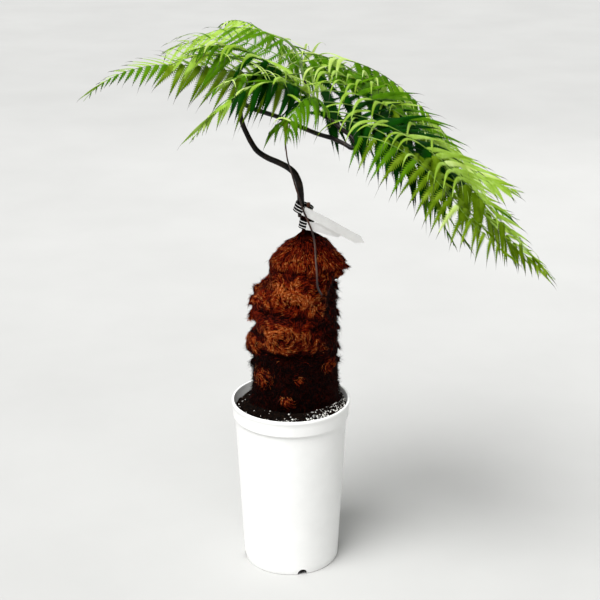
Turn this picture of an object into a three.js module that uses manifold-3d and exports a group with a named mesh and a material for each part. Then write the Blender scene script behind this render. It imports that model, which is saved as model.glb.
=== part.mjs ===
// A tree fern in its tall slim pot: woolly trunk, one long bent stalk, one broad arching frond.
// Millimetres, +Z up, +Y away from the front. The origin is the middle of the pot's flat underside.
import * as THREE from "three";
import { mergeVertices } from "three/addons/utils/BufferGeometryUtils.js";
import Module from "manifold-3d";

const wasm = await Module();
wasm.setup();

// Gap that neighbouring pieces keep
const clearance = 0.3;

// The plant's own places are given from a line beside the pot's axis, this far along X from it
const plantAside = -4.7;

// Pot
const potHeight = 245;
const potFootRadius = 67.5;
const potShoulderRadius = 78;
const potRimRadius = 82.5;
const potRimDepth = 23;
const potWall = 1.8;
const potFloor = 3;
const potLip = 3.4;
const potSides = 40;
const potFootRound = 1.5; // bevel of the foot's edge
const collarStep = { in: 2, down: 0.8 }; // how the rim band steps out from the wall
const lipRound = { out: 1, down: 2 }; // bevel of the rim's outer edge
const lipInner = { in: 0.6, down: 1.2 }; // and of its inner edge
const notchCount = 4;
const notchRadius = 7;
const notchRise = 1;
const notchCut = 20; // how far the cut reaches through the wall
const notchSides = 16;
const firstNotchTurn = -76;

// Soil
const soilLevel = 236;
const soilSlump = 5;
const soilFacetRoom = 0.25; // further gap, since the pot's facets stand inside its circle
const soilShoulder = [12, 6]; // where the slump begins and steepens, in from the pot's wall
const soilSteepDrop = 1; // how far it has sunk where it steepens
const soilRimStep = 0.4; // and how far its edge stands out over the wall's lower part
const soilSides = 32;

// Trunk: [height, left edge, right edge, half depth], from the soil to the cut top of its neck
const trunkStations = [
  [soilLevel + clearance, -52, 73, 42],
  [262, -47, 69, 44],
  [300, -46, 67, 47],
  [340, -47, 65, 49],
  [384, -46, 64, 48],
  [405, -41, 64, 47],
  [427, -27, 66, 44],
  [447, -22, 70, 40],
  [461, -12, 65, 32],
  [471, -1, 58, 25],
  [480, 12, 46, 14],
  [488, 20, 34, 6.6],
  [500, 20.5, 32, 5.4],
  [513, 15.4, 28.5, 5.4],
];
const trunkSides = 28;
const trunkRings = 29;
const trunkRingCrowding = 1.25; // over 1 the rings stand closer towards the neck
// Broad swellings: [turn, height, out, half turn, half height], turns in degrees from +X towards +Y
const trunkLobes = [
  [-98, 364, 12, 42, 30],
  [-165, 330, 9, 30, 18],
  [180, 356, -8, 34, 9],
  [-60, 418, 6, 40, 14],
  [180, 418, -7, 40, 14],
  [95, 352, 10, 45, 34],
  [55, 292, 6, 35, 24],
  [140, 404, 4, 34, 18],
  [-20, 345, 4, 30, 30],
];
// Small round buds and scars: [turn, height, radius, share of the radius sunk in]
const trunkBuds = [
  [-140, 289, 15, 0.55],
  [-101, 257, 8, 0.4],
  [-40, 303, 9.5, 0.6],
  [172, 402, 8, 0.3],
];
// Wool drawn out to a point: [turn, height, length, radius at its foot, dip]
const trunkTufts = [
  [-6, 441, 17, 9, -14],
  [176, 388, 11, 6, -40],
];
const tuftSides = 7;
// The cut end of an old stalk beside the neck
const stubFoot = [27.3, -1, 503];
const stubHeight = 24;
const stubRadius = 2.7;
const stubTaper = 0.85;
const stubSides = 8;
const stubLean = 3;

// Stalk, its upper run and the frond's main rib: hand-placed middles, thick end first
const stalkLowerPath = [
  [19.2, 0, 513.8], [19.1, 0, 517], [18.7, 0, 524], [16.8, 0, 551], [10, 0, 567], [2, 1, 574], [-11, 5, 580],
  [-26, 10, 585.5], [-38.5, 13, 593.5], [-47, 17, 605], [-53, 20, 616.5], [-57, 20, 626], [-60, 20, 639],
  [-59.6, 17.2, 647.3], [-58.8, 15, 650.5],
];
const stalkUpperPath = [
  [-58.73, 14.8, 650.8], [-58, 12.7, 653.7], [-53, 5, 656], [-45, -5, 654], [-26, -20, 651],
  [-10, -35, 649], [25, -60, 639], [41, -75, 636], [58, -85, 633], [73, -95, 628], [81, -99.5, 624.5],
  [86.2, -101, 626], [86.3, -100.3, 628.9], [84.5, -98.5, 632],
];
const mainRibPath = [
  [84.34, -98.34, 632.27], [82.7, -96.7, 635.1], [77, -92, 640], [68, -88, 646], [58, -80, 653],
  [42, -65, 661], [34, -50, 669], [27, -35, 680], [21, 0, 698], [16, 35, 712], [2, 70, 726],
  [-30, 110, 733],
];
const stalkRadii = [4.8, 2.9];
const stalkUpperRadii = [2.9, 2.6];
const mainRibRadii = [2.6, 1.3];
const stalkSides = 8;
const limbSteps = { stalkLower: 26, stalkUpper: 30, mainRib: 22, young: 20 };

// A second, young stalk as thin as a straw, which leans on the trunk and the neck
const youngFoot = { turn: -58, height: 414, out: 0.8 };
const youngPath = [
  [40.5, -54.5, 428], [39.5, -50, 444], [38, -38, 462], [37, -24, 476], [34, -17, 490], [28, -15.8, 506],
  [22, -15, 520], [17, -12.8, 536], [13, -10.8, 547], [8.4, -8.8, 562.5], [5.3, -11, 574], [1.5, -18, 589],
  [-0.1, -28, 603.3], [-0.7, -38, 616.2], [0.5, -48, 630], [4, -56, 640], [7, -66, 652],
];
const youngRadii = [1.4, 0.8];
const youngSides = 6;

// Plant labels: a strip with one end closed to a loop round the neck, all blank.
// dip is how far the loop leans to the right, and droop how much further its strip hangs.
const tagThickness = 0.8;
const tagWidth = 12;
const tagCurveSteps = 10; // per half turn of the loop
const tagTable = [
  { name: "tag_upper", loopRadius: 12, centre: [22, 0, 519], dip: 20, droop: 8, length: 92, end: 9 },
  { name: "tag_lower", loopRadius: 9.2, centre: [26, 0, 498], dip: 10, droop: 3, length: 50, end: 6 },
];

// Side fronds. Each rib leaves its carrier at the share `at` of its length and arches by a rule:
// its heading turns evenly, and its pitch runs on a soft curve led by three values.
// lift is how far the leaflets on the left and the right side stand above the blade's plane,
// and weight how much they sag. spread is their angle to the rib at the frond's foot and its tip,
// and forward how far a leaflet turns forward along its own length. With shrinking over 1 they stay
// long and then shrink faster. shape holds what differs from leafletShape.
const fronds = [
  { name: "frond_left_1", at: 0.525, length: 295, heading: [202, 195], pitch: [-5, 44, -52],
    pairs: 21, leaflet: 86, lift: [-36, 18], weight: [0.4, 0.15], spread: [77, 34],
    forward: 45, shrinking: 0.9, shape: { archedShare: 0 } },
  { name: "frond_left_2", at: 0.38, length: 176, heading: [204, 172], pitch: [40, 47, -38],
    pairs: 14, leaflet: 63, lift: [-44, -3], weight: [1.1, 0.65], spread: [76, 37],
    forward: 32, shrinking: 2.3 },
  { name: "frond_left_3", at: 0.275, length: 213, heading: [216, 208], pitch: [64, -39, -47],
    pairs: 15, leaflet: 74, lift: [-31, -2], weight: [0.8, 0.9], spread: [75, 15],
    forward: 39, shrinking: 1.1, shape: { tail: [0.7, 0.32, 0.2] } },
  { name: "frond_left_4", at: 0.565, length: 212, heading: [143, 171], pitch: [22, 14, -33],
    pairs: 15, leaflet: 80, lift: [-30, 19], weight: [0.7, 0.6], spread: [75, 32],
    forward: 35, shrinking: 3.4, shape: { archedShare: 0 } },
  { name: "frond_left_5", at: 0.815, length: 158, heading: [144, 162], pitch: [21, 0, -36],
    pairs: 11, leaflet: 67, lift: [-18, -5], weight: [0.5, 0.55], spread: [87, 23],
    forward: 34, shrinking: 2.2, shape: { archedShare: 0 } },
  { name: "frond_tip", at: 1, length: 120, heading: [122, 131], pitch: [11, 14, -38],
    pairs: 11, leaflet: 51, lift: [-25, -22], weight: [0.55, 0.5], spread: [71, 27],
    forward: 31, shrinking: 1.6, shape: { archedShare: 0 } },
  { name: "frond_right_1", at: 0.61, length: 308, heading: [31, 3], pitch: [12, -57, -50],
    pairs: 17, leaflet: 74, lift: [-13, -33], weight: [0.9, 1.05], spread: [82, 28],
    forward: 38, shrinking: 2 },
  { name: "frond_right_2", at: 0.49, length: 356, heading: [24, -9], pitch: [10, -86, -9],
    pairs: 20, leaflet: 79, lift: [12, -18], weight: [0.05, 0.65], spread: [76, 21],
    forward: 34, shrinking: 4.2 },
  { name: "frond_right_3", at: 0.375, length: 429, heading: [-1, -2], pitch: [10, -89, -32],
    pairs: 22, leaflet: 84, lift: [10, -40], weight: [0, 1.1], spread: [62, 37],
    forward: 50, shrinking: 2.6 },
  { name: "frond_right_4", at: 0.24, length: 388, heading: [-16, 10], pitch: [6, -69, -41],
    pairs: 22, leaflet: 75, lift: [14, -54], weight: [0.15, 0.75], spread: [81, 22],
    forward: 40, shrinking: 2.5 },
  { name: "frond_right_5", at: 0.03, length: 273, heading: [-28, 3], pitch: [12, -90, -22],
    pairs: 17, leaflet: 54, lift: [7, -51], weight: [0.5, 0.7], spread: [119, 75],
    forward: 12, shrinking: 3.4, shape: { archedShare: 0 } },
  { name: "frond_right_6", at: 0.1, length: 237, heading: [23, -10], pitch: [-5, -77, -56],
    pairs: 12, leaflet: 55, lift: [-16, -26], weight: [1, 0.7], spread: [81, 30],
    forward: 38, shrinking: 2.5 },
  { name: "frond_back_1", at: 0.78, length: 233, heading: [50, 13], pitch: [-15, -41, -53],
    pairs: 14, leaflet: 65, lift: [-21, -26], weight: [0.65, 0.45], spread: [80, 30],
    forward: 32, shrinking: 2.1 },
  { name: "frond_back_2", at: 0.96, length: 157, heading: [54, 31], pitch: [-29, -34, -58],
    pairs: 11, leaflet: 64, lift: [-32, -36], weight: [0.85, 0.95], spread: [70, 20],
    forward: 43, shrinking: 3.5 },
  { name: "frond_front", at: 0.17, length: 125, heading: [227, 239], pitch: [80, -15, -97],
    pairs: 10, leaflet: 57, lift: [-23, -16], weight: [1, 1], spread: [81, 38],
    forward: 45, shrinking: 2.9 },
  { name: "frond_young", at: 1, length: 46, heading: [253, 186], pitch: [34, -23, -59],
    pairs: 3, leaflet: 52, lift: [-26, -30], weight: [1.15, 1.25], spread: [71, 31],
    forward: 33, shrinking: 1.5, carrier: "young_stalk", shape: { archedShare: 0 } },
];
const firstSeed = 1000;
const seedStep = 37;
const ribRadii = [1.5, 0.45];
const ribSteps = 11;
const archSteps = 60; // short runs that the arch is summed from
// Where a rib may begin, from its carrier's middle
const ribStart = { nearest: 0.2, farthest: 12, step: 0.15 };
const leafletShape = {
  firstShare: 0.07, // where the first pair stands on its rib
  lastShare: 0.95,
  widestShare: 0.22, // where the leaflets are longest
  footLength: 0.68, // length of the first, as a share of the longest
  lengths: [0.94, 1.06], // chance in each length
  tipFlat: 0.6, // share of the lift that is lost towards the frond's tip
  shoulder: 0.28, // a leaflet's widest place
  crest: 0.14, // its thickest place
  fill: 0.72, // its width as a share of the room between two leaflets
  thickness: 0.016, // as a share of its length
  leastThickness: 0.8,
  leastLength: 0.12, // of the longest, at the frond's tip
  slimness: 0.26, // widest it may be, as a share of its length
  crowding: 0.93, // under 1 the pairs stand closer towards the tip
  jitter: 5, // degrees
  steps: 14,
  shorter: [1, 0.8, 0.6], // lengths tried before a leaflet is left out
  // Some leaflets that hang on other fronds arch up towards the light first
  archedShare: 0.3,
  archedLift: 46,
  archedTop: 6,
  archedUnder: -12,
  archedWeight: 1.5,
  tail: [0.87, 0.14, 0.17], // the frond's end: where it starts, and its length and width as shares
};

// The tail of a frond goes on along its rib
const tailRow = { lift: [0, 0], weight: [0.15, 0.15], spread: [3, 3], forward: 2 };
const straightOn = { lift: 0, spread: 0, weight: 1 };

const collarFoot = potHeight - potRimDepth;
const radians = THREE.MathUtils.degToRad;
const mix = THREE.MathUtils.lerp;
const vector = (list) => new THREE.Vector3(list[0], list[1], list[2]);
const group = new THREE.Group();

// Repeatable random numbers from 0 to 1
function randomSource(seed) {
  let state = seed;
  return () => {
    state = (state * 16807) % 2147483647;
    return state / 2147483647;
  };
}

// A closed mesh becomes a solid
function toSolid(geometry) {
  const bare = geometry.clone();
  bare.deleteAttribute("normal");
  bare.deleteAttribute("uv");
  const merged = mergeVertices(bare, 1e-4);
  return new wasm.Manifold(new wasm.Mesh({
    numProp: 3,
    vertProperties: new Float32Array(merged.attributes.position.array),
    triVerts: new Uint32Array(merged.index.array),
  }));
}

function toGeometry(solid) {
  const mesh = solid.getMesh();
  const geometry = new THREE.BufferGeometry();
  geometry.setAttribute("position", new THREE.BufferAttribute(mesh.vertProperties, 3));
  geometry.setIndex(new THREE.BufferAttribute(mesh.triVerts, 1));
  geometry.computeVertexNormals();
  return geometry;
}

function addMesh(name, geometry, color, roughness, aside = plantAside) {
  const material = new THREE.MeshStandardMaterial({ color, roughness, metalness: 0 });
  const mesh = new THREE.Mesh(geometry, material);
  mesh.name = name;
  geometry.translate(aside, 0, 0);
  group.add(mesh);
}

// Rings of points joined to one closed skin with flat ends.
// Each ring runs anticlockwise round the way from the first ring to the last.
function skin(rings) {
  const sides = rings[0].length;
  const positions = rings.flat().flatMap((point) => point.toArray());
  const index = [];
  for (let i = 0; i + 1 < rings.length; i += 1) {
    for (let j = 0; j < sides; j += 1) {
      const a = i * sides + j;
      const b = i * sides + ((j + 1) % sides);
      index.push(a, b, b + sides, a, b + sides, a + sides);
    }
  }
  const last = (rings.length - 1) * sides;
  for (let j = 1; j + 1 < sides; j += 1) {
    index.push(0, j + 1, j);
    index.push(last, last + j, last + j + 1);
  }
  const geometry = new THREE.BufferGeometry();
  geometry.setAttribute("position", new THREE.Float32BufferAttribute(positions, 3));
  geometry.setIndex(index);
  geometry.computeVertexNormals();
  return geometry;
}

function ring(centre, across, beside, radius, sides) {
  const points = [];
  for (let j = 0; j < sides; j += 1) {
    const turn = (2 * Math.PI * j) / sides;
    points.push(centre.clone()
      .addScaledVector(across, radius * Math.cos(turn))
      .addScaledVector(beside, radius * Math.sin(turn)));
  }
  return points;
}

// A tapering limb along a smooth path
function limb(path, radii, sides, steps) {
  const curve = new THREE.CatmullRomCurve3(path.map(vector), false, "centripetal");
  const frames = curve.computeFrenetFrames(steps, false);
  const rings = [];
  for (let i = 0; i <= steps; i += 1) {
    const radius = mix(radii[0], radii[1], i / steps);
    rings.push(ring(curve.getPointAt(i / steps), frames.normals[i], frames.binormals[i], radius, sides));
  }
  return { curve, radii, solid: toSolid(skin(rings)) };
}

function buildPot() {
  const innerAt = (z) => mix(potFootRadius, potShoulderRadius, z / collarFoot) - potWall;
  const profile = [
    [0, 0], [potFootRadius - potFootRound, 0], [potFootRadius, potFootRound],
    [potShoulderRadius, collarFoot - collarStep.down], [potRimRadius - collarStep.in, collarFoot],
    [potRimRadius, potHeight - lipRound.down], [potRimRadius - lipRound.out, potHeight],
    [potRimRadius - potLip + lipInner.in, potHeight], [potRimRadius - potLip, potHeight - lipInner.down],
    [innerAt(collarFoot), collarFoot - collarStep.in], [innerAt(potFloor), potFloor], [0, potFloor],
  ];
  const wall = new THREE.LatheGeometry(profile.map(([r, z]) => new THREE.Vector2(r, z)), potSides);
  wall.rotateX(Math.PI / 2);
  let pot = toSolid(wall);
  for (let i = 0; i < notchCount; i += 1) {
    const cutter = new THREE.CylinderGeometry(notchRadius, notchRadius, notchCut, notchSides);
    cutter.rotateZ(Math.PI / 2);
    cutter.translate(potFootRadius, 0, notchRise);
    cutter.rotateZ(radians(firstNotchTurn + (360 * i) / notchCount));
    pot = pot.subtract(toSolid(cutter));
  }
  addMesh("pot", toGeometry(pot), 0xf4f4f2, 0.4, 0);
  return { pot, innerAt };
}

// The soil fills the pot to just under its lip and slumps a little towards the wall
function buildSoil(innerAt) {
  const gap = clearance + soilFacetRoom;
  const [flatEnd, steepEnd] = soilShoulder;
  const wallReach = innerAt(collarFoot) - gap;
  const profile = [
    [0, potFloor + clearance], [innerAt(potFloor) - gap, potFloor + clearance],
    [wallReach, collarFoot - collarStep.in], [wallReach + soilRimStep, soilLevel - soilSlump],
    [potShoulderRadius - steepEnd, soilLevel - soilSteepDrop], [potShoulderRadius - flatEnd, soilLevel],
    [0, soilLevel],
  ];
  const plug = new THREE.LatheGeometry(profile.map(([r, z]) => new THREE.Vector2(r, z)), soilSides);
  plug.rotateX(Math.PI / 2);
  addMesh("soil", toGeometry(toSolid(plug)), 0x15100d, 0.95, 0);
}

// Widths of the trunk at a height, smoothly between its stations
function trunkStation(z) {
  let i = 0;
  while (i + 2 < trunkStations.length && trunkStations[i + 1][0] < z) {
    i += 1;
  }
  const low = trunkStations[i];
  const high = trunkStations[i + 1];
  const straight = (z - low[0]) / (high[0] - low[0]);
  const share = (straight + THREE.MathUtils.smoothstep(z, low[0], high[0])) / 2;
  return {
    middle: (mix(low[1], high[1], share) + mix(low[2], high[2], share)) / 2,
    halfWidth: (mix(low[2], high[2], share) - mix(low[1], high[1], share)) / 2,
    halfDepth: mix(low[3], high[3], share),
  };
}

function trunkPoint(turn, z) {
  const { middle, halfWidth, halfDepth } = trunkStation(z);
  let out = 0;
  for (const [lobeTurn, lobeHeight, lobeOut, halfTurn, halfHeight] of trunkLobes) {
    const away = THREE.MathUtils.euclideanModulo(turn - lobeTurn + 180, 360) - 180;
    out += lobeOut * Math.exp(-((away / halfTurn) ** 2) - ((z - lobeHeight) / halfHeight) ** 2);
  }
  const cosine = Math.cos(radians(turn));
  const sine = Math.sin(radians(turn));
  return new THREE.Vector3(middle + (halfWidth + out) * cosine, (halfDepth + out) * sine, z);
}

function buildTrunk() {
  const foot = trunkStations[0][0];
  const top = trunkStations[trunkStations.length - 1][0];
  const rings = [];
  for (let i = 0; i <= trunkRings; i += 1) {
    const z = mix(foot, top, 1 - (1 - i / trunkRings) ** trunkRingCrowding);
    const points = [];
    for (let j = 0; j < trunkSides; j += 1) {
      points.push(trunkPoint((360 * j) / trunkSides, z));
    }
    rings.push(points);
  }
  let trunk = toSolid(skin(rings));
  for (const [turn, z, radius, sunk] of trunkBuds) {
    const place = trunkPoint(turn, z);
    place.x -= radius * sunk * Math.cos(radians(turn));
    place.y -= radius * sunk * Math.sin(radians(turn));
    const bud = new THREE.IcosahedronGeometry(radius, 1);
    bud.translate(place.x, place.y, place.z);
    trunk = trunk.add(toSolid(bud));
  }
  for (const [turn, z, length, radius, dip] of trunkTufts) {
    const tuft = new THREE.ConeGeometry(radius, length + radius, tuftSides);
    tuft.rotateZ(-Math.PI / 2);
    tuft.translate((length - radius) / 2, 0, 0);
    tuft.rotateY(radians(-dip));
    tuft.rotateZ(radians(turn));
    const place = trunkPoint(turn, z);
    tuft.translate(place.x, place.y, place.z);
    trunk = trunk.add(toSolid(tuft));
  }
  const stub = new THREE.CylinderGeometry(stubRadius * stubTaper, stubRadius, stubHeight, stubSides);
  stub.rotateX(Math.PI / 2);
  stub.translate(0, 0, stubHeight / 2);
  stub.rotateY(radians(stubLean));
  stub.translate(stubFoot[0], stubFoot[1], stubFoot[2]);
  trunk = trunk.add(toSolid(stub));
  addMesh("trunk", toGeometry(trunk), 0x7a3c12, 0.95);
  return trunk;
}

function buildTag({ name, loopRadius, centre, dip, droop, length, end }) {
  const outer = loopRadius + tagThickness;
  const band = new THREE.Shape();
  band.absarc(0, 0, outer, 0, 2 * Math.PI);
  const hole = new THREE.Path();
  hole.absarc(0, 0, loopRadius, 0, 2 * Math.PI);
  band.holes.push(hole);
  const loop = new THREE.ExtrudeGeometry(band, {
    depth: tagWidth,
    bevelEnabled: false,
    curveSegments: tagCurveSteps,
  });
  const strip = new THREE.Shape();
  strip.moveTo(0, 0);
  strip.lineTo(length - end, 0);
  strip.lineTo(length, tagWidth / 2);
  strip.lineTo(length - end, tagWidth);
  strip.lineTo(0, tagWidth);
  const flag = new THREE.ExtrudeGeometry(strip, { depth: tagThickness, bevelEnabled: false });
  flag.rotateX(Math.PI / 2);
  flag.rotateY(radians(droop));
  flag.translate(0, -loopRadius, 0);
  const geometry = toGeometry(toSolid(loop).add(toSolid(flag)));
  geometry.translate(0, 0, -tagWidth / 2);
  geometry.rotateY(radians(dip));
  geometry.translate(centre[0], centre[1], centre[2]);
  const solid = toSolid(geometry);
  addMesh(name, geometry, 0xf2f0ee, 0.6);
  return solid;
}

// The rib of a frond, as places from its foot to its tip with the way along, to its right and up
function ribStations(frond, foot) {
  const stations = [];
  const place = foot.clone();
  for (let i = 0; i <= archSteps; i += 1) {
    const share = i / archSteps;
    const heading = radians(mix(frond.heading[0], frond.heading[1], share));
    const left = 1 - share;
    const [rise, bow, fall] = frond.pitch;
    const pitch = radians(left * left * rise + 2 * share * left * bow + share * share * fall);
    const along = new THREE.Vector3(
      Math.cos(pitch) * Math.cos(heading), Math.cos(pitch) * Math.sin(heading), Math.sin(pitch));
    const side = new THREE.Vector3(Math.sin(heading), -Math.cos(heading), 0);
    stations.push({ place: place.clone(), along, side });
    place.addScaledVector(along, frond.length / archSteps);
  }
  return (share) => {
    const at = Math.min(share * archSteps, archSteps - 1e-6);
    const i = Math.floor(at);
    const blend = (key) => stations[i][key].clone().lerp(stations[i + 1][key], at - i);
    const along = blend("along").normalize();
    const side = blend("side").normalize();
    return { place: blend("place"), along, side, up: side.clone().cross(along).normalize() };
  };
}

// The longest leaflets stand near the foot of a frond, and they shrink to nothing at its tip
function leafletLength(frond, share) {
  const { widestShare, footLength, leastLength } = leafletShape;
  if (share < widestShare) {
    return frond.leaflet * mix(footLength, 1, share / widestShare);
  }
  const onward = (share - widestShare) / (1 - widestShare);
  return frond.leaflet * Math.max(leastLength, 1 - onward ** frond.shrinking);
}

// One leaflet as a blade of eight faces that arches forward and sags
function leafletSolid(station, hand, share, frond, length, width, wander) {
  const shape = leafletShape;
  const { steps } = shape;
  const lift = frond.lift[hand < 0 ? 0 : 1] * (1 - shape.tipFlat * share * share) + wander.lift;
  const weight = frond.weight[hand < 0 ? 0 : 1] * wander.weight;
  const spread = mix(frond.spread[0], frond.spread[1], share) + wander.spread;
  const place = station.place.clone();
  const path = [place.clone()];
  const ways = [];
  for (let i = 0; i < steps; i += 1) {
    const run = (i + 0.5) / steps;
    const angle = radians(spread - frond.forward * run);
    const tilt = radians(lift);
    const way = station.along.clone().multiplyScalar(Math.cos(angle) * Math.cos(tilt))
      .addScaledVector(station.side, hand * Math.sin(angle) * Math.cos(tilt))
      .addScaledVector(station.up, Math.sin(tilt));
    way.z -= weight * run;
    way.normalize();
    ways.push(way);
    place.addScaledVector(way, length / steps);
    path.push(place.clone());
  }
  const shoulder = Math.round(shape.shoulder * steps);
  const crest = Math.round(shape.crest * steps);
  const across = station.along.clone().addScaledVector(ways[shoulder], -station.along.dot(ways[shoulder]));
  across.normalize();
  const thick = ways[shoulder].clone().cross(across).normalize();
  const half = Math.max(shape.leastThickness, length * shape.thickness) / 2;
  const points = [
    path[0],
    path[shoulder].clone().addScaledVector(across, width / 2),
    path[crest].clone().addScaledVector(thick, half),
    path[shoulder].clone().addScaledVector(across, -width / 2),
    path[crest].clone().addScaledVector(thick, -half),
    path[steps],
  ];
  const index = [];
  for (let j = 1; j <= 4; j += 1) {
    const next = (j % 4) + 1;
    index.push(0, next, j, 5, j, next);
  }
  const geometry = new THREE.BufferGeometry();
  geometry.setAttribute("position", new THREE.Float32BufferAttribute(points.flatMap((p) => p.toArray()), 3));
  geometry.setIndex(index);
  return { solid: toSolid(geometry), box: new THREE.Box3().setFromPoints(points).expandByScalar(clearance) };
}

const { innerAt } = buildPot();
buildSoil(innerAt);
const trunk = buildTrunk();
const stalkLower = limb(stalkLowerPath, stalkRadii, stalkSides, limbSteps.stalkLower);
const stalkUpper = limb(stalkUpperPath, stalkUpperRadii, stalkSides, limbSteps.stalkUpper);
const mainRib = limb(mainRibPath, mainRibRadii, stalkSides, limbSteps.mainRib);
const youngRoot = trunkPoint(youngFoot.turn, youngFoot.height);
youngRoot.x += youngFoot.out * Math.cos(radians(youngFoot.turn));
youngRoot.y += youngFoot.out * Math.sin(radians(youngFoot.turn));
const youngStalk = limb([youngRoot.toArray(), ...youngPath], youngRadii, youngSides, limbSteps.young);
addMesh("stalk_lower", toGeometry(stalkLower.solid), 0x1a120c, 0.45);
addMesh("stalk_upper", toGeometry(stalkUpper.solid), 0x1a120c, 0.45);
addMesh("main_rib", toGeometry(mainRib.solid), 0x241a0e, 0.45);
addMesh("young_stalk", toGeometry(youngStalk.solid), 0x4a2b1c, 0.5);
const tags = tagTable.map(buildTag);

// What is already placed: each entry has an owner, a solid and its box
const placed = [];
function place(owner, solid) {
  const { vertProperties } = solid.getMesh();
  const box = new THREE.Box3().setFromArray(vertProperties);
  placed.push({ owner, solid, box });
}
place("trunk", trunk);
place("stalk_lower", stalkLower.solid);
place("stalk_upper", stalkUpper.solid);
place("main_rib", mainRib.solid);
place("young_stalk", youngStalk.solid);
tags.forEach((solid, i) => place(tagTable[i].name, solid));

function isClear(owner, solid, box) {
  return placed.every((other) => other.owner === owner || !other.box.intersectsBox(box)
    || other.solid.minGap(solid, clearance) >= clearance);
}

// A rib begins as near to its carrier as the clearance allows
function buildRib(frond) {
  const carrier = frond.carrier === "young_stalk" ? youngStalk : mainRib;
  const foot = carrier.curve.getPointAt(frond.at);
  const stationAt = ribStations(frond, foot);
  const box = new THREE.Box3();
  for (let start = ribStart.nearest; start < ribStart.farthest; start += ribStart.step) {
    const first = start / frond.length;
    const rings = [];
    for (let i = 0; i <= ribSteps; i += 1) {
      const share = mix(first, 1, i / ribSteps);
      const station = stationAt(share);
      rings.push(ring(station.place, station.up, station.side, mix(ribRadii[0], ribRadii[1], share), 3));
    }
    box.setFromPoints(rings.flat()).expandByScalar(clearance);
    const solid = toSolid(skin(rings));
    if (isClear(frond.name, solid, box)) {
      // A place inside the faceted rib, between two of its rings
      const insideAt = (share) => {
        const i = Math.min(Math.floor(((share - first) / (1 - first)) * ribSteps), ribSteps - 1);
        const low = mix(first, 1, i / ribSteps);
        const high = mix(first, 1, (i + 1) / ribSteps);
        const middle = stationAt(low).place.lerp(stationAt(high).place, (share - low) / (high - low));
        return { ...stationAt(share), place: middle };
      };
      return { insideAt, solid };
    }
  }
  throw new Error(`no clear place for ${frond.name}`);
}

function growLeaflets(frond, rib, random) {
  const shape = { ...leafletShape, ...frond.shape };
  const room = (frond.length * (shape.lastShare - shape.firstShare)) / (frond.pairs - 1);
  let solid = rib.solid;
  // A leaflet that would touch another frond, or shut a hollow in with its neighbours,
  // is tried shorter and then left out
  function addLeaflet(share, hand, row, full, width, wander) {
    shape.shorter.map((cut) => full * cut).some((length) => {
      const leaflet = leafletSolid(rib.insideAt(share), hand, share, row, length, width, wander);
      if (!isClear(frond.name, leaflet.solid, leaflet.box)) {
        return false;
      }
      const grown = solid.add(leaflet.solid);
      if (grown.decompose().length > 1) {
        return false;
      }
      solid = grown;
      return true;
    });
  }
  for (let i = 0; i < frond.pairs; i += 1) {
    const share = mix(shape.firstShare, shape.lastShare, (i / (frond.pairs - 1)) ** shape.crowding);
    for (const hand of [-1, 1]) {
      const wander = {
        lift: (random() - 0.5) * 2 * shape.jitter,
        spread: (random() - 0.5) * shape.jitter,
        weight: 1,
      };
      const full = leafletLength(frond, share) * mix(shape.lengths[0], shape.lengths[1], random());
      const width = Math.min(room * shape.fill, full * shape.slimness);
      const flattest = frond.lift[hand < 0 ? 0 : 1];
      if (flattest < shape.archedUnder && random() < shape.archedShare) {
        wander.lift += Math.min(shape.archedLift, shape.archedTop - flattest);
        wander.weight = shape.archedWeight;
      }
      addLeaflet(share, hand, frond, full, width, wander);
    }
  }
  const [start, size, slim] = shape.tail;
  addLeaflet(start, 1, tailRow, frond.length * size, frond.length * size * slim, straightOn);
  return solid;
}

const ribs = fronds.map((frond) => {
  const rib = buildRib(frond);
  place(frond.name, rib.solid);
  return rib;
});
fronds.forEach((frond, k) => {
  const solid = growLeaflets(frond, ribs[k], randomSource(firstSeed + seedStep * k));
  place(frond.name, solid);
  addMesh(frond.name, toGeometry(solid), 0x4f9a12, 0.6);
});

export default group;
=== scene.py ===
import math
import bpy
import numpy as np
from mathutils import Matrix, Vector, noise


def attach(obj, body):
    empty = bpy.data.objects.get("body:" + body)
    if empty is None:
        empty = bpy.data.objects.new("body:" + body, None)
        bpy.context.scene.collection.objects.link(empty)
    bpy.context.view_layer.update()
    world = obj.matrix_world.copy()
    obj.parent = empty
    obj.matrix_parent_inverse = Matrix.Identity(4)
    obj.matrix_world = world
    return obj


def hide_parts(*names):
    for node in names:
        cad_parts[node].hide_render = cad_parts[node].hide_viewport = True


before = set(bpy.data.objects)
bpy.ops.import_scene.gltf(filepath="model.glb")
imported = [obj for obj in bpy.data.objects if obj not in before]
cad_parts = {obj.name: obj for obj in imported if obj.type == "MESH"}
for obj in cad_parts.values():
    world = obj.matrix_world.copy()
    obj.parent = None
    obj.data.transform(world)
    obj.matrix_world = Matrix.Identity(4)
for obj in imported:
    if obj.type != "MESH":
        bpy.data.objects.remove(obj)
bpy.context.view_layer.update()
mm = 0.001
fullTurn = 2 * math.pi
plantAside = -4.7  # the plant's own places are given from a line beside the pot's axis, in mm


def hexColour(text):
    # sRGB hex to the linear values that the shaders take
    parts = [int(text[i:i + 2], 16) / 255 for i in (1, 3, 5)]
    return [p / 12.92 if p <= 0.04045 else ((p + 0.055) / 1.055) ** 2.4 for p in parts] + [1.0]


def addNode(tree, kind, inputs=None, **settings):
    # inputs: socket name or number to a value, an output, or a node whose first output is taken
    node = tree.nodes.new(kind)
    for name, value in settings.items():
        setattr(node, name, value)
    for name, value in (inputs or {}).items():
        if isinstance(value, bpy.types.Node):
            value = value.outputs[0]
        if isinstance(value, bpy.types.NodeSocket):
            tree.links.new(value, node.inputs[name])
        else:
            node.inputs[name].default_value = value
    return node


def calculate(tree, operation, *values):
    return addNode(tree, "ShaderNodeMath", dict(enumerate(values)), operation=operation)


def perMm(size):
    # Noise scale for features of this many millimetres
    return 1 / (size * mm)


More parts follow.
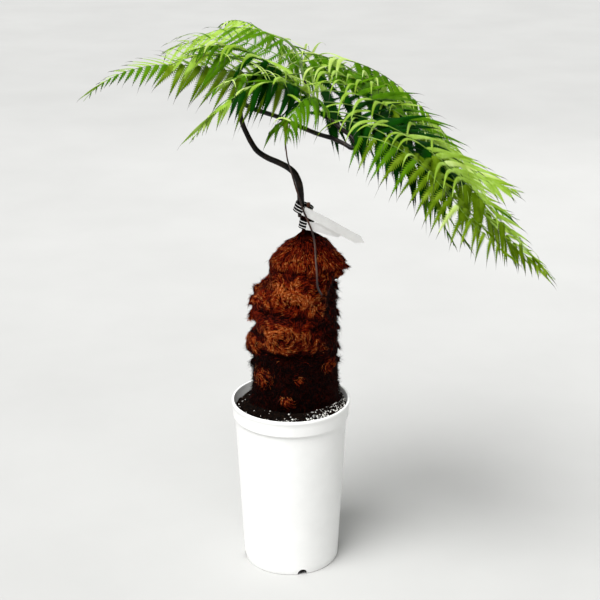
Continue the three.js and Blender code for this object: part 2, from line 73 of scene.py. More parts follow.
def newMaterial(name):
    material = bpy.data.materials.new(name)
    material.use_nodes = True
    material.node_tree.nodes.clear()
    return material, material.node_tree


mixing = {"from": 0.32, "over": 0.36}  # the part of a noise's range in which the colours change


def makeMaterial(name, colours, grain, roughness, bump=None, spread=0.08, through=0, gloss=0.5, **shader):
    # colours: darkest to lightest, mixed by noise with features of `grain` mm; bump: size, strength, depth
    material, tree = newMaterial(name)
    place = addNode(tree, "ShaderNodeTexCoord").outputs["Object"]
    cloud = addNode(tree, "ShaderNodeTexNoise",
                    {"Vector": place, "Scale": perMm(grain), "Detail": 4.0, "Roughness": 0.6})
    ramp = addNode(tree, "ShaderNodeValToRGB", {"Fac": cloud})
    stops = ramp.color_ramp.elements
    for i, text in enumerate(colours):
        at = mixing["from"] + mixing["over"] * i / (len(colours) - 1)
        stop = stops[i] if i < 2 else stops.new(at)
        stop.position = at
        stop.color = hexColour(text)
    rough = addNode(tree, "ShaderNodeMapRange",
                    {"Value": cloud, "To Min": roughness - spread, "To Max": roughness + spread})
    skin = addNode(tree, "ShaderNodeBsdfPrincipled",
                   {"Base Color": ramp, "Roughness": rough, "Specular IOR Level": gloss, **shader})
    if bump:
        size, strength, depth = bump
        fine = addNode(tree, "ShaderNodeTexNoise", {"Vector": place, "Scale": perMm(size), "Detail": 3.0})
        relief = addNode(tree, "ShaderNodeBump",
                         {"Height": fine, "Strength": strength, "Distance": depth * mm})
        tree.links.new(relief.outputs["Normal"], skin.inputs["Normal"])
    if through:
        glow = addNode(tree, "ShaderNodeBsdfTranslucent", {"Color": ramp})
        skin = addNode(tree, "ShaderNodeMixShader", {0: through, 1: skin, 2: glow})
    addNode(tree, "ShaderNodeOutputMaterial", {"Surface": skin})
    return material


def newObject(name, data):
    added = bpy.data.objects.new(name, data)
    bpy.context.scene.collection.objects.link(added)
    return added


def makeMesh(name, points, faces, material=None, smooth=True):
    mesh = bpy.data.meshes.new(name)
    mesh.from_pydata([tuple(p) for p in np.asarray(points) * mm], [], faces)
    mesh.update()
    mesh.polygons.foreach_set("use_smooth", [smooth] * len(mesh.polygons))
    if material:
        mesh.materials.append(material)
    return newObject(name, mesh)


def bakedMesh(source):
    bpy.context.view_layer.update()
    graph = bpy.context.evaluated_depsgraph_get()
    return bpy.data.meshes.new_from_object(source.evaluated_get(graph), depsgraph=graph)


def settle(piece):
    # What the modifiers make becomes the piece's plain mesh
    mesh = bakedMesh(piece)
    piece.modifiers.clear()
    piece.data = mesh
    mesh.name = piece.name
    return piece


def readPoints(mesh):
    at = np.empty(len(mesh.vertices) * 3)
    mesh.vertices.foreach_get("co", at)
    return at.reshape(-1, 3) / mm


def addLayer(mesh, name, values):
    # A number or a vector for each of the mesh's points
    kind, field = ("FLOAT_VECTOR", "vector") if values.ndim > 1 else ("FLOAT", "value")
    mesh.attributes.new(name, kind, "POINT").data.foreach_set(field, values.astype(np.float32).ravel())


def finishPiece(piece, slot, *nodes, aside=plantAside):
    piece.data.transform(Matrix.Translation((aside * mm, 0, 0)))
    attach(piece, "root")
    if nodes:
        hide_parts(*nodes)


def ringFaces(rings, sides):
    # Rings of as many points each, joined and closed at both ends
    faces = []
    for i in range(rings - 1):
        for j in range(sides):
            a, b = i * sides + j, i * sides + (j + 1) % sides
            faces.append((a, b, b + sides, a + sides))
    faces.append(tuple(range(sides))[::-1])
    faces.append(tuple(range((rings - 1) * sides, rings * sides)))
    return faces


def roundSteps(count):
    return np.linspace(0, fullTurn, count, endpoint=False)


def levelWay(turn):
    # The level direction at a turn given in degrees
    return np.array([math.cos(math.radians(turn)), math.sin(math.radians(turn)), 0])


def smoothPath(points, count):
    # A centripetal curve through the points, returned as even steps along it
    given = np.array(points, float)
    given = np.vstack([2 * given[0] - given[1], given, 2 * given[-1] - given[-2]])
    fine = []
    share = np.linspace(0, 1, 25)[:, None]
    t, t2, t3 = share, share ** 2, share ** 3
    for i in range(1, len(given) - 2):
        p0, p1, p2, p3 = given[i - 1:i + 3]
        d0, d1, d2 = (np.linalg.norm(b - a) ** 0.5 for a, b in ((p0, p1), (p1, p2), (p2, p3)))
        lead1 = ((p1 - p0) / d0 - (p2 - p0) / (d0 + d1) + (p2 - p1) / d1) * d1
        lead2 = ((p2 - p1) / d1 - (p3 - p1) / (d1 + d2) + (p3 - p2) / d2) * d1
        run = (2 * t3 - 3 * t2 + 1) * p1 + (t3 - 2 * t2 + t) * lead1
        run = run + (3 * t2 - 2 * t3) * p2 + (t3 - t2) * lead2
        fine.append(run[:-1])
    fine = np.vstack(fine + [given[-2:-1]])
    gone = np.concatenate([[0], np.cumsum(np.linalg.norm(np.diff(fine, axis=0), axis=1))])
    at = np.linspace(0, gone[-1], count)
    return np.stack([np.interp(at, gone, fine[:, k]) for k in range(3)], 1)


def pointAt(path, share):
    at = np.linspace(0, 1, len(path))
    return np.array([np.interp(share, at, path[:, k]) for k in range(3)])


def unit(v):
    return v / np.linalg.norm(v, axis=-1, keepdims=True)


def softStep(low, high, value):
    t = np.clip((value - low) / (high - low), 0, 1)
    return t * t * (3 - 2 * t)


def randomSource(seed):
    # The same repeatable numbers as the solids are grown from
    state = seed
    while True:
        state = (state * 16807) % 2147483647
        yield state / 2147483647


# Camera: a little above the plant, looking down on it as the photograph does
camera = bpy.data.cameras.new("photoCamera")
camera.lens = 78
camera.sensor_width = 36
camera.clip_end = 50
cameraObject = bpy.data.objects.new("photoCamera", camera)
cameraObject.location = (0.01284, -1.65522, 1.00187)
cameraObject.rotation_euler = (math.radians(69.7), 0, 0)
bpy.context.scene.collection.objects.link(cameraObject)
bpy.context.scene.camera = cameraObject


def addLight(name, kind, watts, place, aim, **settings):
    light = bpy.data.lights.new(name, kind)
    light.energy = watts
    for setting, value in settings.items():
        setattr(light, setting, value)
    holder = newObject(name, light)
    holder.location = place
    holder.rotation_euler = (Vector(aim) - Vector(place)).to_track_quat("-Z", "Y").to_euler()


# Light: a bright overcast sky, stronger from above and the front left, over a pale floor
addLight("overcastSky", "SUN", 4.2, (0, 0, 0), (0.32, 0.42, -1), angle=math.radians(35))
addLight("frontPanel", "AREA", 8, (-1.3, -1.9, 1.9), (0, 0, 0.4), size=1.6)
addLight("backPanel", "AREA", 10, (0.6, 2.2, 1.6), (0, 0, 0.5), size=2.0)
world = bpy.data.worlds.new("paleStudio")
world.use_nodes = True
sky = world.node_tree.nodes["Background"].inputs
sky["Color"].default_value = hexColour("#f4f5f6")
sky["Strength"].default_value = 0.5
bpy.context.scene.world = world
bpy.context.scene.view_settings.view_transform = "Standard"

floorReach = 60000
corners = [(x * floorReach, y * floorReach, 0) for x, y in ((-1, -1), (1, -1), (1, 1), (-1, 1))]
floorMesh = makeMesh("studioFloor", corners, [(0, 1, 2, 3)],
                     makeMaterial("paleFloorPaint", ["#b4b4b2", "#b9b9b7"], 400, 0.8))
print("stage ready")

# Pot: injection-moulded polypropylene, clean white, a soft sheen and a barely uneven skin
potMaterial = makeMaterial("whiteMouldedPolypropylene", ["#f1f1ef", "#f6f6f4"], 40, 0.36,
                           (3, 0.12, 0.15), 0.03, IOR=1.49)
pot = {
    "height": 245, "footRadius": 67.5, "shoulderRadius": 78, "rimRadius": 82.5, "rimDepth": 23, "wall": 1.8,
    "floor": 3, "lip": 3.4, "step": 1.7, "sides": 160, "sharp": 38,
    # Arched notches round the foot
    "notches": 4, "notchRadius": 7, "notchRise": 1, "notchReach": 10, "notchSides": 40, "firstNotch": -76,
}
potCollar = pot["height"] - pot["rimDepth"]


def potInner(z):
    reach = z / potCollar
    return pot["footRadius"] + (pot["shoulderRadius"] - pot["footRadius"]) * reach - pot["wall"]


def potProfile():
    # The foot's step, the wall, the rim band with a rolled lip, and the inside
    foot, shoulder, rim = pot["footRadius"], pot["shoulderRadius"], pot["rimRadius"]
    top, collar, inside = pot["height"], potCollar, rim - pot["lip"]
    profile = [(foot - 1.6, 0), (foot - 0.5, 0.5), (foot, pot["step"])]
    wall = np.linspace(0.04, 1, 16)
    profile += [(foot + (shoulder - foot) * s, pot["step"] + (collar - 2.5) * s) for s in wall]
    profile += [(rim - 2.2, collar - 0.1), (rim - 1.6, collar + 0.4), (rim - 1.5, collar + 1.6)]
    profile += [(rim - 1.5 + 0.9 * s, collar + 1.6 + 16 * s) for s in (0.33, 0.66, 1)]
    profile += [(rim - 0.3, collar + 18.3), (rim, collar + 19.2), (rim, top - 1.6), (rim - 0.5, top - 0.5),
                (rim - 1.5, top), (inside + 0.9, top), (inside + 0.2, top - 0.5), (inside, top - 1.5),
                (inside - 0.6, collar + 2), (potInner(collar), collar - 2)]
    return profile + [(potInner(z), z) for z in (120, 30, pot["floor"])]


def notchCutter(turn):
    away = levelWay(turn)
    beside = np.cross([0, 0, 1], away)
    radius, rise, sides = pot["notchRadius"], pot["notchRise"], pot["notchSides"]
    rings = [away * reach + beside * radius * math.cos(a) + np.array([0, 0, rise + radius * math.sin(a)])
             for reach in (pot["footRadius"] - pot["notchReach"], pot["footRadius"] + pot["notchReach"])
             for a in roundSteps(sides)]
    return makeMesh("notchCutter", rings, ringFaces(2, sides))


def buildPot():
    profile = potProfile()
    points = [(r * math.cos(t), r * math.sin(t), z) for r, z in profile for t in roundSteps(pot["sides"])]
    piece = makeMesh("growingPot", points, ringFaces(len(profile), pot["sides"]), potMaterial)
    cutters = []
    for i in range(pot["notches"]):
        cutters.append(notchCutter(pot["firstNotch"] + 360 * i / pot["notches"]))
        cut = piece.modifiers.new("notch", "BOOLEAN")
        cut.object = cutters[-1]
        cut.operation = "DIFFERENCE"
        cut.solver = "EXACT"
    settle(piece)
    for cutter in cutters:
        bpy.data.objects.remove(cutter)
    piece.data.polygons.foreach_set("use_smooth", [True] * len(piece.data.polygons))
    piece.data.set_sharp_from_angle(angle=math.radians(pot["sharp"]))
    finishPiece(piece, "pot_plastic", "pot", aside=0)
    print("pot ready", len(piece.data.polygons))


buildPot()

# Soil: black peat and bark with white perlite grains
soil = {
    "level": 238.5, "sunk": 1.5, "rings": 110, "sides": 200, "hub": 3, "ringCrowding": 1.15, "wallGap": 0.3,
    "bumps": 1.7, "bumpSize": 9, "crumbs": 0.6, "crumbFineness": 2.7, "slump": 3.5, "slumpFrom": 62,
    "underside": (200, 120, 40, 3.3),
    # Heaped in a ring round the trunk, and higher at the right and the back
    "heap": 7, "heapAside": 6, "heapRadius": 55, "heapWidth": 10, "heapShare": 0.7,
    "tilt": 4, "tiltWay": (0.9, 0.4), "tiltFrom": 35,
}
soilMaterial = makeMaterial("dampPeatAndBark", ["#020101", "#070403", "#140c07"], 2.5, 0.9, (0.9, 0.9, 0.8),
                            gloss=0.05)


def soilHeight(x, y, radius, reach):
    spot = Vector((x, y, 0)) / soil["bumpSize"]
    lump = noise.fractal(spot, 0.9, 2.1, 4) + soil["crumbs"] * abs(noise.noise(spot * soil["crumbFineness"]))
    edge = softStep(soil["slumpFrom"], reach, radius)
    away = (math.hypot(x - soil["heapAside"], y) - soil["heapRadius"]) / soil["heapWidth"]
    heap = soil["heap"] * math.exp(-away ** 2)
    tiltX, tiltY = soil["tiltWay"]
    tilt = soil["tilt"] * (tiltX * x + tiltY * y) / reach * softStep(soil["tiltFrom"], reach, radius)
    height = soil["level"] - soil["sunk"] + soil["bumps"] * lump + heap * soil["heapShare"] + tilt
    return height - soil["slump"] * edge


def buildSoil():
    gap, hub, sides = soil["wallGap"], soil["hub"], soil["sides"]
    reach = potInner(potCollar) - gap
    turns = roundSteps(sides)
    points = []
    for i in range(soil["rings"]):
        share = i / (soil["rings"] - 1)
        radius = hub + (reach - hub) * (1 - (1 - share) ** soil["ringCrowding"])
        for t in turns:
            x, y = radius * math.cos(t), radius * math.sin(t)
            points.append((x, y, soilHeight(x, y, radius, reach)))
    for z in soil["underside"]:
        points += [((potInner(z) - gap) * math.cos(t), (potInner(z) - gap) * math.sin(t), z) for t in turns]
    # The rings run outwards and then down, so their faces are turned round
    faces = [face[::-1] for face in ringFaces(soil["rings"] + len(soil["underside"]), sides)]
    piece = makeMesh("soilPlug", points, faces, soilMaterial)
    finishPiece(piece, "potting_mix", "soil", aside=0)
    print("soil ready", len(faces))
    return piece


soilPiece = buildSoil()


def newTree(name, given):
    # A Geometry Nodes tree with one geometry in, one out and named inputs
    tree = bpy.data.node_groups.new(name, "GeometryNodeTree")
    face = tree.interface
    face.new_socket("Geometry", in_out="INPUT", socket_type="NodeSocketGeometry")
    kinds = {int: "NodeSocketInt", float: "NodeSocketFloat", str: "NodeSocketString"}
    for label, value in given.items():
        kind = kinds.get(type(value), "NodeSocketMaterial")
        socket = face.new_socket(label, in_out="INPUT", socket_type=kind)
        if kind != "NodeSocketMaterial":
            socket.default_value = value
    face.new_socket("Geometry", in_out="OUTPUT", socket_type="NodeSocketGeometry")
    return tree, addNode(tree, "NodeGroupInput").outputs


def closeTree(tree, take, geometry, smooth=True):
    # Real meshes, dressed in the material that the tree is given
    real = addNode(tree, "GeometryNodeRealizeInstances", {"Geometry": geometry})
    if smooth:
        real = addNode(tree, "GeometryNodeSetShadeSmooth", {"Geometry": real})
    dressed = addNode(tree, "GeometryNodeSetMaterial", {"Geometry": real, "Material": take["Material"]})
    addNode(tree, "NodeGroupOutput", {"Geometry": dressed})
    return tree


def runTree(tree, name, data, values):
    # The mesh or curve goes through the tree and comes out as a plain mesh
    carrier = newObject(name + "Carrier", data)
    changer = carrier.modifiers.new(tree.name, "NODES")
    changer.node_group = tree
    sockets = tree.interface.items_tree
    identifiers = {item.name: item.identifier for item in sockets if item.in_out == "INPUT"}
    for label, value in values.items():
        changer[identifiers[label]] = value
    mesh = bakedMesh(carrier)
    bpy.data.objects.remove(carrier)
    mesh.name = name
    return newObject(name, mesh)


def strewPoints(tree, take):
    # Over the faces, as thickly as the layer called "Where" says
    where = addNode(tree, "GeometryNodeInputNamedAttribute", {"Name": take["Where"]}, data_type="FLOAT")
    amount = calculate(tree, "MULTIPLY", where, take["Density"])
    return addNode(tree, "GeometryNodeDistributePointsOnFaces",
                   {"Mesh": take["Geometry"], "Density": amount, "Seed": take["Seed"]})


def randomVector(tree, low, high, seed):
    limits = {"Min": low, "Max": high, "Seed": seed}
    return addNode(tree, "FunctionNodeRandomValue", limits, data_type="FLOAT_VECTOR")


def randomNumber(tree, low, high, seed):
    limits = {2: low, 3: high, "Seed": seed}
    return addNode(tree, "FunctionNodeRandomValue", limits, data_type="FLOAT").outputs[1]


def grainTree():
    # Irregular grains strewn over the upper faces
    tree, take = newTree("strewnGrains", {
        "Density": 1.0, "Size": 1.0, "Smallest": 0.3, "Rise": 0.0, "Seed": 1, "Where": "grit",
        "Material": None})
    ball = addNode(tree, "GeometryNodeMeshIcoSphere", {"Radius": 0.5, "Subdivisions": 1})
    spin = randomVector(tree, (0, 0, 0), (6.28, 6.28, 6.28), take["Seed"])
    small = calculate(tree, "MULTIPLY", take["Size"], take["Smallest"])
    lowest, highest = (addNode(tree, "ShaderNodeCombineXYZ", dict.fromkeys("XYZ", size))
                       for size in (small, take["Size"]))
    grains = addNode(tree, "GeometryNodeInstanceOnPoints",
                     {"Points": strewPoints(tree, take), "Instance": ball,
                      "Rotation": addNode(tree, "FunctionNodeEulerToRotation", {"Euler": spin}),
                      "Scale": randomVector(tree, lowest, highest, 7)})
    lift = addNode(tree, "ShaderNodeCombineXYZ", {"Z": take["Rise"]})
    raised = addNode(tree, "GeometryNodeTranslateInstances",
                     {"Instances": grains, "Translation": lift, "Local Space": False})
    return closeTree(tree, take, raised, smooth=False)


grains = {
    # Grains lie on the soil's top, and not under the trunk: its middle, half width, half depth and an edge
    "lowest": 225, "trunk": (5.8, 62, 42, 0.97),
    # Perlite lies thickest at the front and the right, in patches, and thickens towards the wall
    "facing": (0.75, 0.66, 75), "thickening": (54, 70), "patchSize": 16, "amount": (0.12, 0.62, 0.7),
    "limits": (0.03, 1.1), "middleShare": 0.08, "smallest": 0.3,
    "rows": [
        # Expanded volcanic glass: chalk white, rough, light popcorn-like grains
        {"piece": "perliteGrains", "where": "grit", "density": 300000.0, "size": 3.4, "rise": 0.9,
         "seed": 3, "material": makeMaterial("expandedPerlite", ["#b9b6ae", "#e4e2dc", "#f7f6f2"], 1.5, 0.9,
                                             (0.5, 0.6, 0.3))},
        # Composted bark: near black, dull, splintery
        {"piece": "barkCrumbs", "where": "chips", "density": 330000.0, "size": 4.4, "rise": 0.6,
         "seed": 11, "material": makeMaterial("compostedBark", ["#040202", "#0c0705", "#21130b"], 3, 0.9,
                                              (0.8, 0.8, 0.5), gloss=0.05)},
    ],
}


def buildGrains():
    at = readPoints(soilPiece.data)
    middle, halfWidth, halfDepth, edge = grains["trunk"]
    away = np.hypot((at[:, 0] - middle) / halfWidth, at[:, 1] / halfDepth)
    free = (at[:, 2] > grains["lowest"]) & (away > edge)
    patches = np.array([noise.noise(Vector((x, y, 5)) / grains["patchSize"]) for x, y, _ in at])
    right, front, reach = grains["facing"]
    facing = (right * at[:, 0] - front * at[:, 1]) / reach
    outer = softStep(*grains["thickening"], np.hypot(at[:, 0], at[:, 1]))
    least, byFacing, byPatch = grains["amount"]
    amount = np.clip(least + byFacing * facing + byPatch * patches, *grains["limits"])
    inner = grains["middleShare"]
    addLayer(soilPiece.data, "grit", free * amount * (inner + (1 - inner) * outer))
    addLayer(soilPiece.data, "chips", free * 1.0)
    tree = grainTree()
    for row in grains["rows"]:
        piece = runTree(tree, row["piece"], soilPiece.data, {
            "Density": row["density"], "Size": row["size"] * mm, "Smallest": grains["smallest"],
            "Rise": row["rise"] * mm, "Seed": row["seed"], "Where": row["where"],
            "Material": row["material"]})
        finishPiece(piece, "potting_mix", aside=0)
        print(row["piece"], "ready", len(piece.data.polygons))


buildGrains()

# Trunk: [height, left edge, right edge, half depth] and swellings, as the solid is made
trunk = {
    "stations": [
        [236.3, -52, 73, 42], [262, -47, 69, 44], [300, -46, 67, 47], [340, -47, 65, 49], [384, -46, 64, 48],
        [405, -41, 64, 47], [427, -27, 66, 44], [447, -22, 70, 40], [461, -12, 65, 32], [471, -1, 58, 25],
        [480, 12, 46, 14], [488, 20, 34, 6.6], [500, 20.5, 32, 5.4], [513, 15.4, 28.5, 5.4],
    ],
    # [turn, height, out, half turn, half height]
    "lobes": [
        [-98, 364, 12, 42, 30], [-165, 330, 9, 30, 18], [180, 356, -8, 34, 9], [-60, 418, 6, 40, 14],
        [180, 418, -7, 40, 14], [95, 352, 10, 45, 34], [55, 292, 6, 35, 24], [140, 404, 4, 34, 18],
        [-20, 345, 4, 30, 30],
    ],
    # Smaller folds of wool and the creases between them:
    # [turn, height, out, half turn, reach above, reach below]
    "folds": [
        [-100, 452, 3.5, 55, 16, 6], [-100, 440, -3, 50, 4, 4], [-56, 436, -4, 22, 5, 5],
        [-14, 418, -7, 22, 7, 8], [-92, 408, 5, 34, 18, 12], [-52, 396, 4, 14, 14, 10],
        [-140, 424, 3, 14, 7, 4], [-168, 396, 4, 12, 7, 4], [-118, 384, -7, 36, 4, 5],
        [-84, 378, -5, 20, 4, 5], [-58, 366, -6, 20, 6, 7], [-36, 352, -6, 14, 7, 9],
        [-106, 360, 6, 22, 15, 16], [-74, 356, 2.5, 10, 12, 12], [-110, 340, 3, 30, 7, 5],
        [-132, 342, -5, 7, 18, 14], [-92, 326, -8, 46, 5, 7], [-158, 350, -5, 16, 5, 7],
        [-160, 312, -6, 24, 6, 9], [-30, 400, -5, 14, 18, 18], [-44, 330, 3, 14, 12, 10],
        [100, 388, -5, 50, 5, 5], [70, 330, -5, 20, 20, 20], [150, 352, -4, 12, 26, 26],
        [20, 380, 3, 20, 12, 12], [40, 412, 3, 22, 12, 8], [60, 364, 4, 26, 14, 8],
        [120, 330, 4, 22, 14, 8],
    ],
    # [turn, height, radius, share of the radius sunk in]
    "buds": [[-140, 289, 13.5, 0.3], [-101, 257, 8, 0.35], [-35, 308, 9, 0.62], [172, 402, 8, 0.45],
             [-166, 329, 10, 0.8], [-150, 402, 7, 0.5], [60, 268, 9, 0.5], [120, 292, 10, 0.5]],
    # Ring-shaped scars of old stalks: [turn, height, ring radius]
    "scars": [[-35, 308, 6.5], [-88, 293, 4.5], [-78, 441, 4], [130, 410, 7], [80, 300, 6]],
    # Wool drawn out to a point: [turn, height, length, radius, dip]
    "tufts": [[-6, 442, 14.5, 8, -8], [-4, 451, 11, 6, -18], [176, 388, 11, 6, -40], [-10, 434, 10, 6, -24],
              [-173, 372, 9, 5, -60], [-20, 448, 11, 7, -30], [8, 424, 8, 5, -50], [4, 409, 9, 5, -40],
              [2, 396, 7, 4, -55], [0, 373, 7, 4, -50], [-2, 352, 6, 4, -45], [0, 324, 7, 4, -40],
              [2, 302, 7, 4, -45], [182, 300, 6, 4, -50]],
    # [middle, half width, half depth] that a turn is taken about
    "round": [9, 57, 50],
    "sides": 150, "rings": 170, "top": 514.6, "voxel": 1.35, "relief": 1.5, "reliefSize": 11,
}
stationTable = np.array(trunk["stations"], float)


def swelling(turn, z, middle, height, halfTurn, above, below=None):
    # Fades out round about, and upwards and downwards each over its own reach
    away = (turn - middle + 180) % 360 - 180
    reach = np.where(z > height, above, below or above)
    return np.exp(-(away / halfTurn) ** 2 - ((z - height) / reach) ** 2)


def trunkPoints(turn, z):
    heights = stationTable[:, 0]
    i = np.clip(np.searchsorted(heights, z, "left") - 1, 0, len(heights) - 2)
    low, high = stationTable[i], stationTable[i + 1]
    straight = np.clip((z - low[:, 0]) / (high[:, 0] - low[:, 0]), 0, None)
    share = ((straight + np.where(straight < 1, softStep(0, 1, straight), straight)) / 2)[:, None]
    now = low + (high - low) * share
    out = np.zeros_like(z)
    for lobeTurn, lobeHeight, lobeOut, halfTurn, above, *below in trunk["lobes"] + trunk["folds"]:
        out += lobeOut * swelling(turn, z, lobeTurn, lobeHeight, halfTurn, above, *below)
    cosine, sine = np.cos(np.radians(turn)), np.sin(np.radians(turn))
    middle, half = (now[:, 1] + now[:, 2]) / 2, (now[:, 2] - now[:, 1]) / 2
    return np.stack([middle + (half + out) * cosine, (now[:, 3] + out) * sine, z], 1)


def onTrunk(turn, z):
    return trunkPoints(np.array([float(turn)]), np.array([float(z)]))[0]


def ballMesh(centre, radius):
    rings, sides = 14, 20
    points = []
    for i in range(rings):
        tilt = math.pi * (i + 0.5) / rings
        for j in range(sides):
            turn = fullTurn * j / sides
            points.append(centre + radius * np.array([
                math.sin(tilt) * math.cos(turn), math.sin(tilt) * math.sin(turn), -math.cos(tilt)]))
    return points, ringFaces(rings, sides)


def coneMesh(foot, way, length, radius):
    sides = 12
    taper = ((-0.5, 1), (0, 1), (0.4, 0.66), (0.8, 0.3), (1, 0.06))
    way = unit(np.array(way, float))
    across = unit(np.cross(way, [0, 0, 1.0]))
    beside = np.cross(way, across)
    points = [foot + way * length * share + (across * math.cos(a) + beside * math.sin(a)) * radius * swell
              for share, swell in taper for a in roundSteps(sides)]
    return points, ringFaces(len(taper), sides)


def trunkForm():
    # Trunk, buds and tufts as one skin
    turns = np.linspace(0, 360, trunk["sides"], endpoint=False)
    heights = np.linspace(stationTable[0, 0], trunk["top"], trunk["rings"])
    meshes = [(trunkPoints(np.tile(turns, len(heights)), np.repeat(heights, len(turns))),
               ringFaces(len(heights), len(turns)))]
    for turn, z, radius, sunk in trunk["buds"]:
        meshes.append(ballMesh(onTrunk(turn, z) - levelWay(turn) * radius * sunk, radius))
    for turn, z, length, radius, dip in trunk["tufts"]:
        place = onTrunk(turn, z)
        tilt, turn = math.radians(dip), math.radians(turn)
        way = (math.cos(turn) * math.cos(tilt), math.sin(turn) * math.cos(tilt), math.sin(tilt))
        meshes.append(coneMesh(place, way, length, radius))
    start, faces = 0, []
    for points, some in meshes:
        faces += [tuple(v + start for v in face) for face in some]
        start += len(points)
    piece = makeMesh("trunkCore", np.vstack([points for points, some in meshes]), faces)
    remesh = piece.modifiers.new("oneSkin", "REMESH")
    remesh.mode = "VOXEL"
    remesh.voxel_size = trunk["voxel"] * mm
    return settle(piece)


trunkPiece = trunkForm()
print("trunk form ready", len(trunkPiece.data.polygons))


# Wool: which way it lies, and where each colour grows
wool = {
    # Whorls: [x, y, z, radius, spin], spin over 0 turns anticlockwise seen from outside
    "whorls": [[-6, -60, 357, 24, 1], [-47, -20, 327, 13, -1], [4, -55, 404, 16, -1], [41, -42, 398, 14, 1],
               [34, -46, 349, 13, -1], [57, -30, 308, 9, 1], [-38, -32, 288, 14, -1], [-42, -28, 396, 12, 1],
               [0, 60, 356, 24, -1], [40, 45, 300, 20, 1], [-40, 30, 400, 18, 1]],
    "neck": [25.5, 0, 490], "shortest": 0.45,
    # Relief: how far lumps, ridges, clumps, rings round whorls, and scars stand out
    "ridges": 0.35, "clumps": 0.5, "whorlRings": 0.9, "scarRings": 2.2, "scarPits": 2.5,
    "ridgeSize": 6.0, "clumpSize": (3.2, 3.2, 7), "patchSize": 13,
    # Flow: how strongly whorls turn it and push it outwards, and how far it wanders elsewhere
    "whorlTurn": 2.4, "whorlOut": 0.25, "wander": 3.6, "wanderSize": 26,
    # Between these heights the wander fades, by this share
    "combed": (425, 455), "combing": 0.75,
    # Zones, each from where it starts to where it is whole, in mm
    "bare": (470, 486), "golden": (316, 338), "dome": (428, 450), "rightFrom": (38, 64),
    "rightUntil": (405, 428),
    # The same for tones: creases painted in shade, and tufts
    "shadedCreases": (-0.7, -0.1), "tufted": (-0.22, 0.18),
}


def foldCrest(at):
    # How far a place stands out of the trunk's plain form, by its folds
    middle, halfWidth, halfDepth = trunk["round"]
    turn = np.degrees(np.arctan2(at[:, 1] / halfDepth, (at[:, 0] - middle) / halfWidth))
    crest = np.zeros(len(at))
    for foldTurn, foldHeight, foldOut, *reach in trunk["folds"]:
        crest += foldOut / 5 * swelling(turn, at[:, 2], foldTurn, foldHeight, *reach)
    return crest


def scarMarks(at):
    ring, pit = np.zeros(len(at)), np.zeros(len(at))
    for turn, z, radius in trunk["scars"]:
        far = np.linalg.norm(at - onTrunk(turn, z), axis=1)
        ring = np.maximum(ring, np.exp(-((far - radius) / 2) ** 2))
        pit = np.maximum(pit, 1 - softStep(radius - 3.5, radius - 1, far))
    return ring, pit


def noiseAt(at, size, shift):
    return np.array([noise.noise(Vector(p) / size + Vector(shift)) for p in at])


def skinNoises(at):
    # Matted lumps, ridges between them, and clumps of fibre drawn out upwards
    lump = np.array([noise.fractal(Vector(p) / trunk["reliefSize"], 0.8, 2.2, 4) for p in at])
    ridge = 1 - np.abs(noiseAt(at * np.array([1, 1, 0.6]), wool["ridgeSize"], (9, 3, 1))) * 2
    clump = noiseAt(at / np.array(wool["clumpSize"]), 1, (0, 0, 0))
    return lump, ridge, clump


def whorlsAt(at):
    # For each whorl: its spin, the way from its middle, how far and how near that is
    for x, y, z, radius, spin in wool["whorls"]:
        away = at - np.array([x, y, z])
        far = np.linalg.norm(away, axis=1)
        yield spin, away, far, np.exp(-(far / radius) ** 2)


def woolFlow(at, normal):
    # Which way the wool lies, along the skin
    def flattened(way):
        return way - normal * np.sum(way * normal, 1)[:, None]

    flow = np.zeros_like(at)
    weight = np.zeros(len(at))
    for spin, away, far, near in whorlsAt(at):
        swirl = spin * np.cross(normal, away) + wool["whorlOut"] * away
        flow += swirl / np.maximum(far, 1)[:, None] * near[:, None] * wool["whorlTurn"]
        weight += near
    # Over the dome the wool combs down from the neck, lower down it wanders
    down = unit(flattened(at - np.array(wool["neck"])))
    wander = noiseAt(at, wool["wanderSize"], (4, 7, 2)) * wool["wander"]
    wander *= 1 - softStep(*wool["combed"], at[:, 2]) * wool["combing"]
    base = down * np.cos(wander)[:, None] + np.cross(normal, down) * np.sin(wander)[:, None]
    flow += base * np.clip(1 - weight, 0.05, 1)[:, None]
    return unit(flattened(flow) + 1e-9)


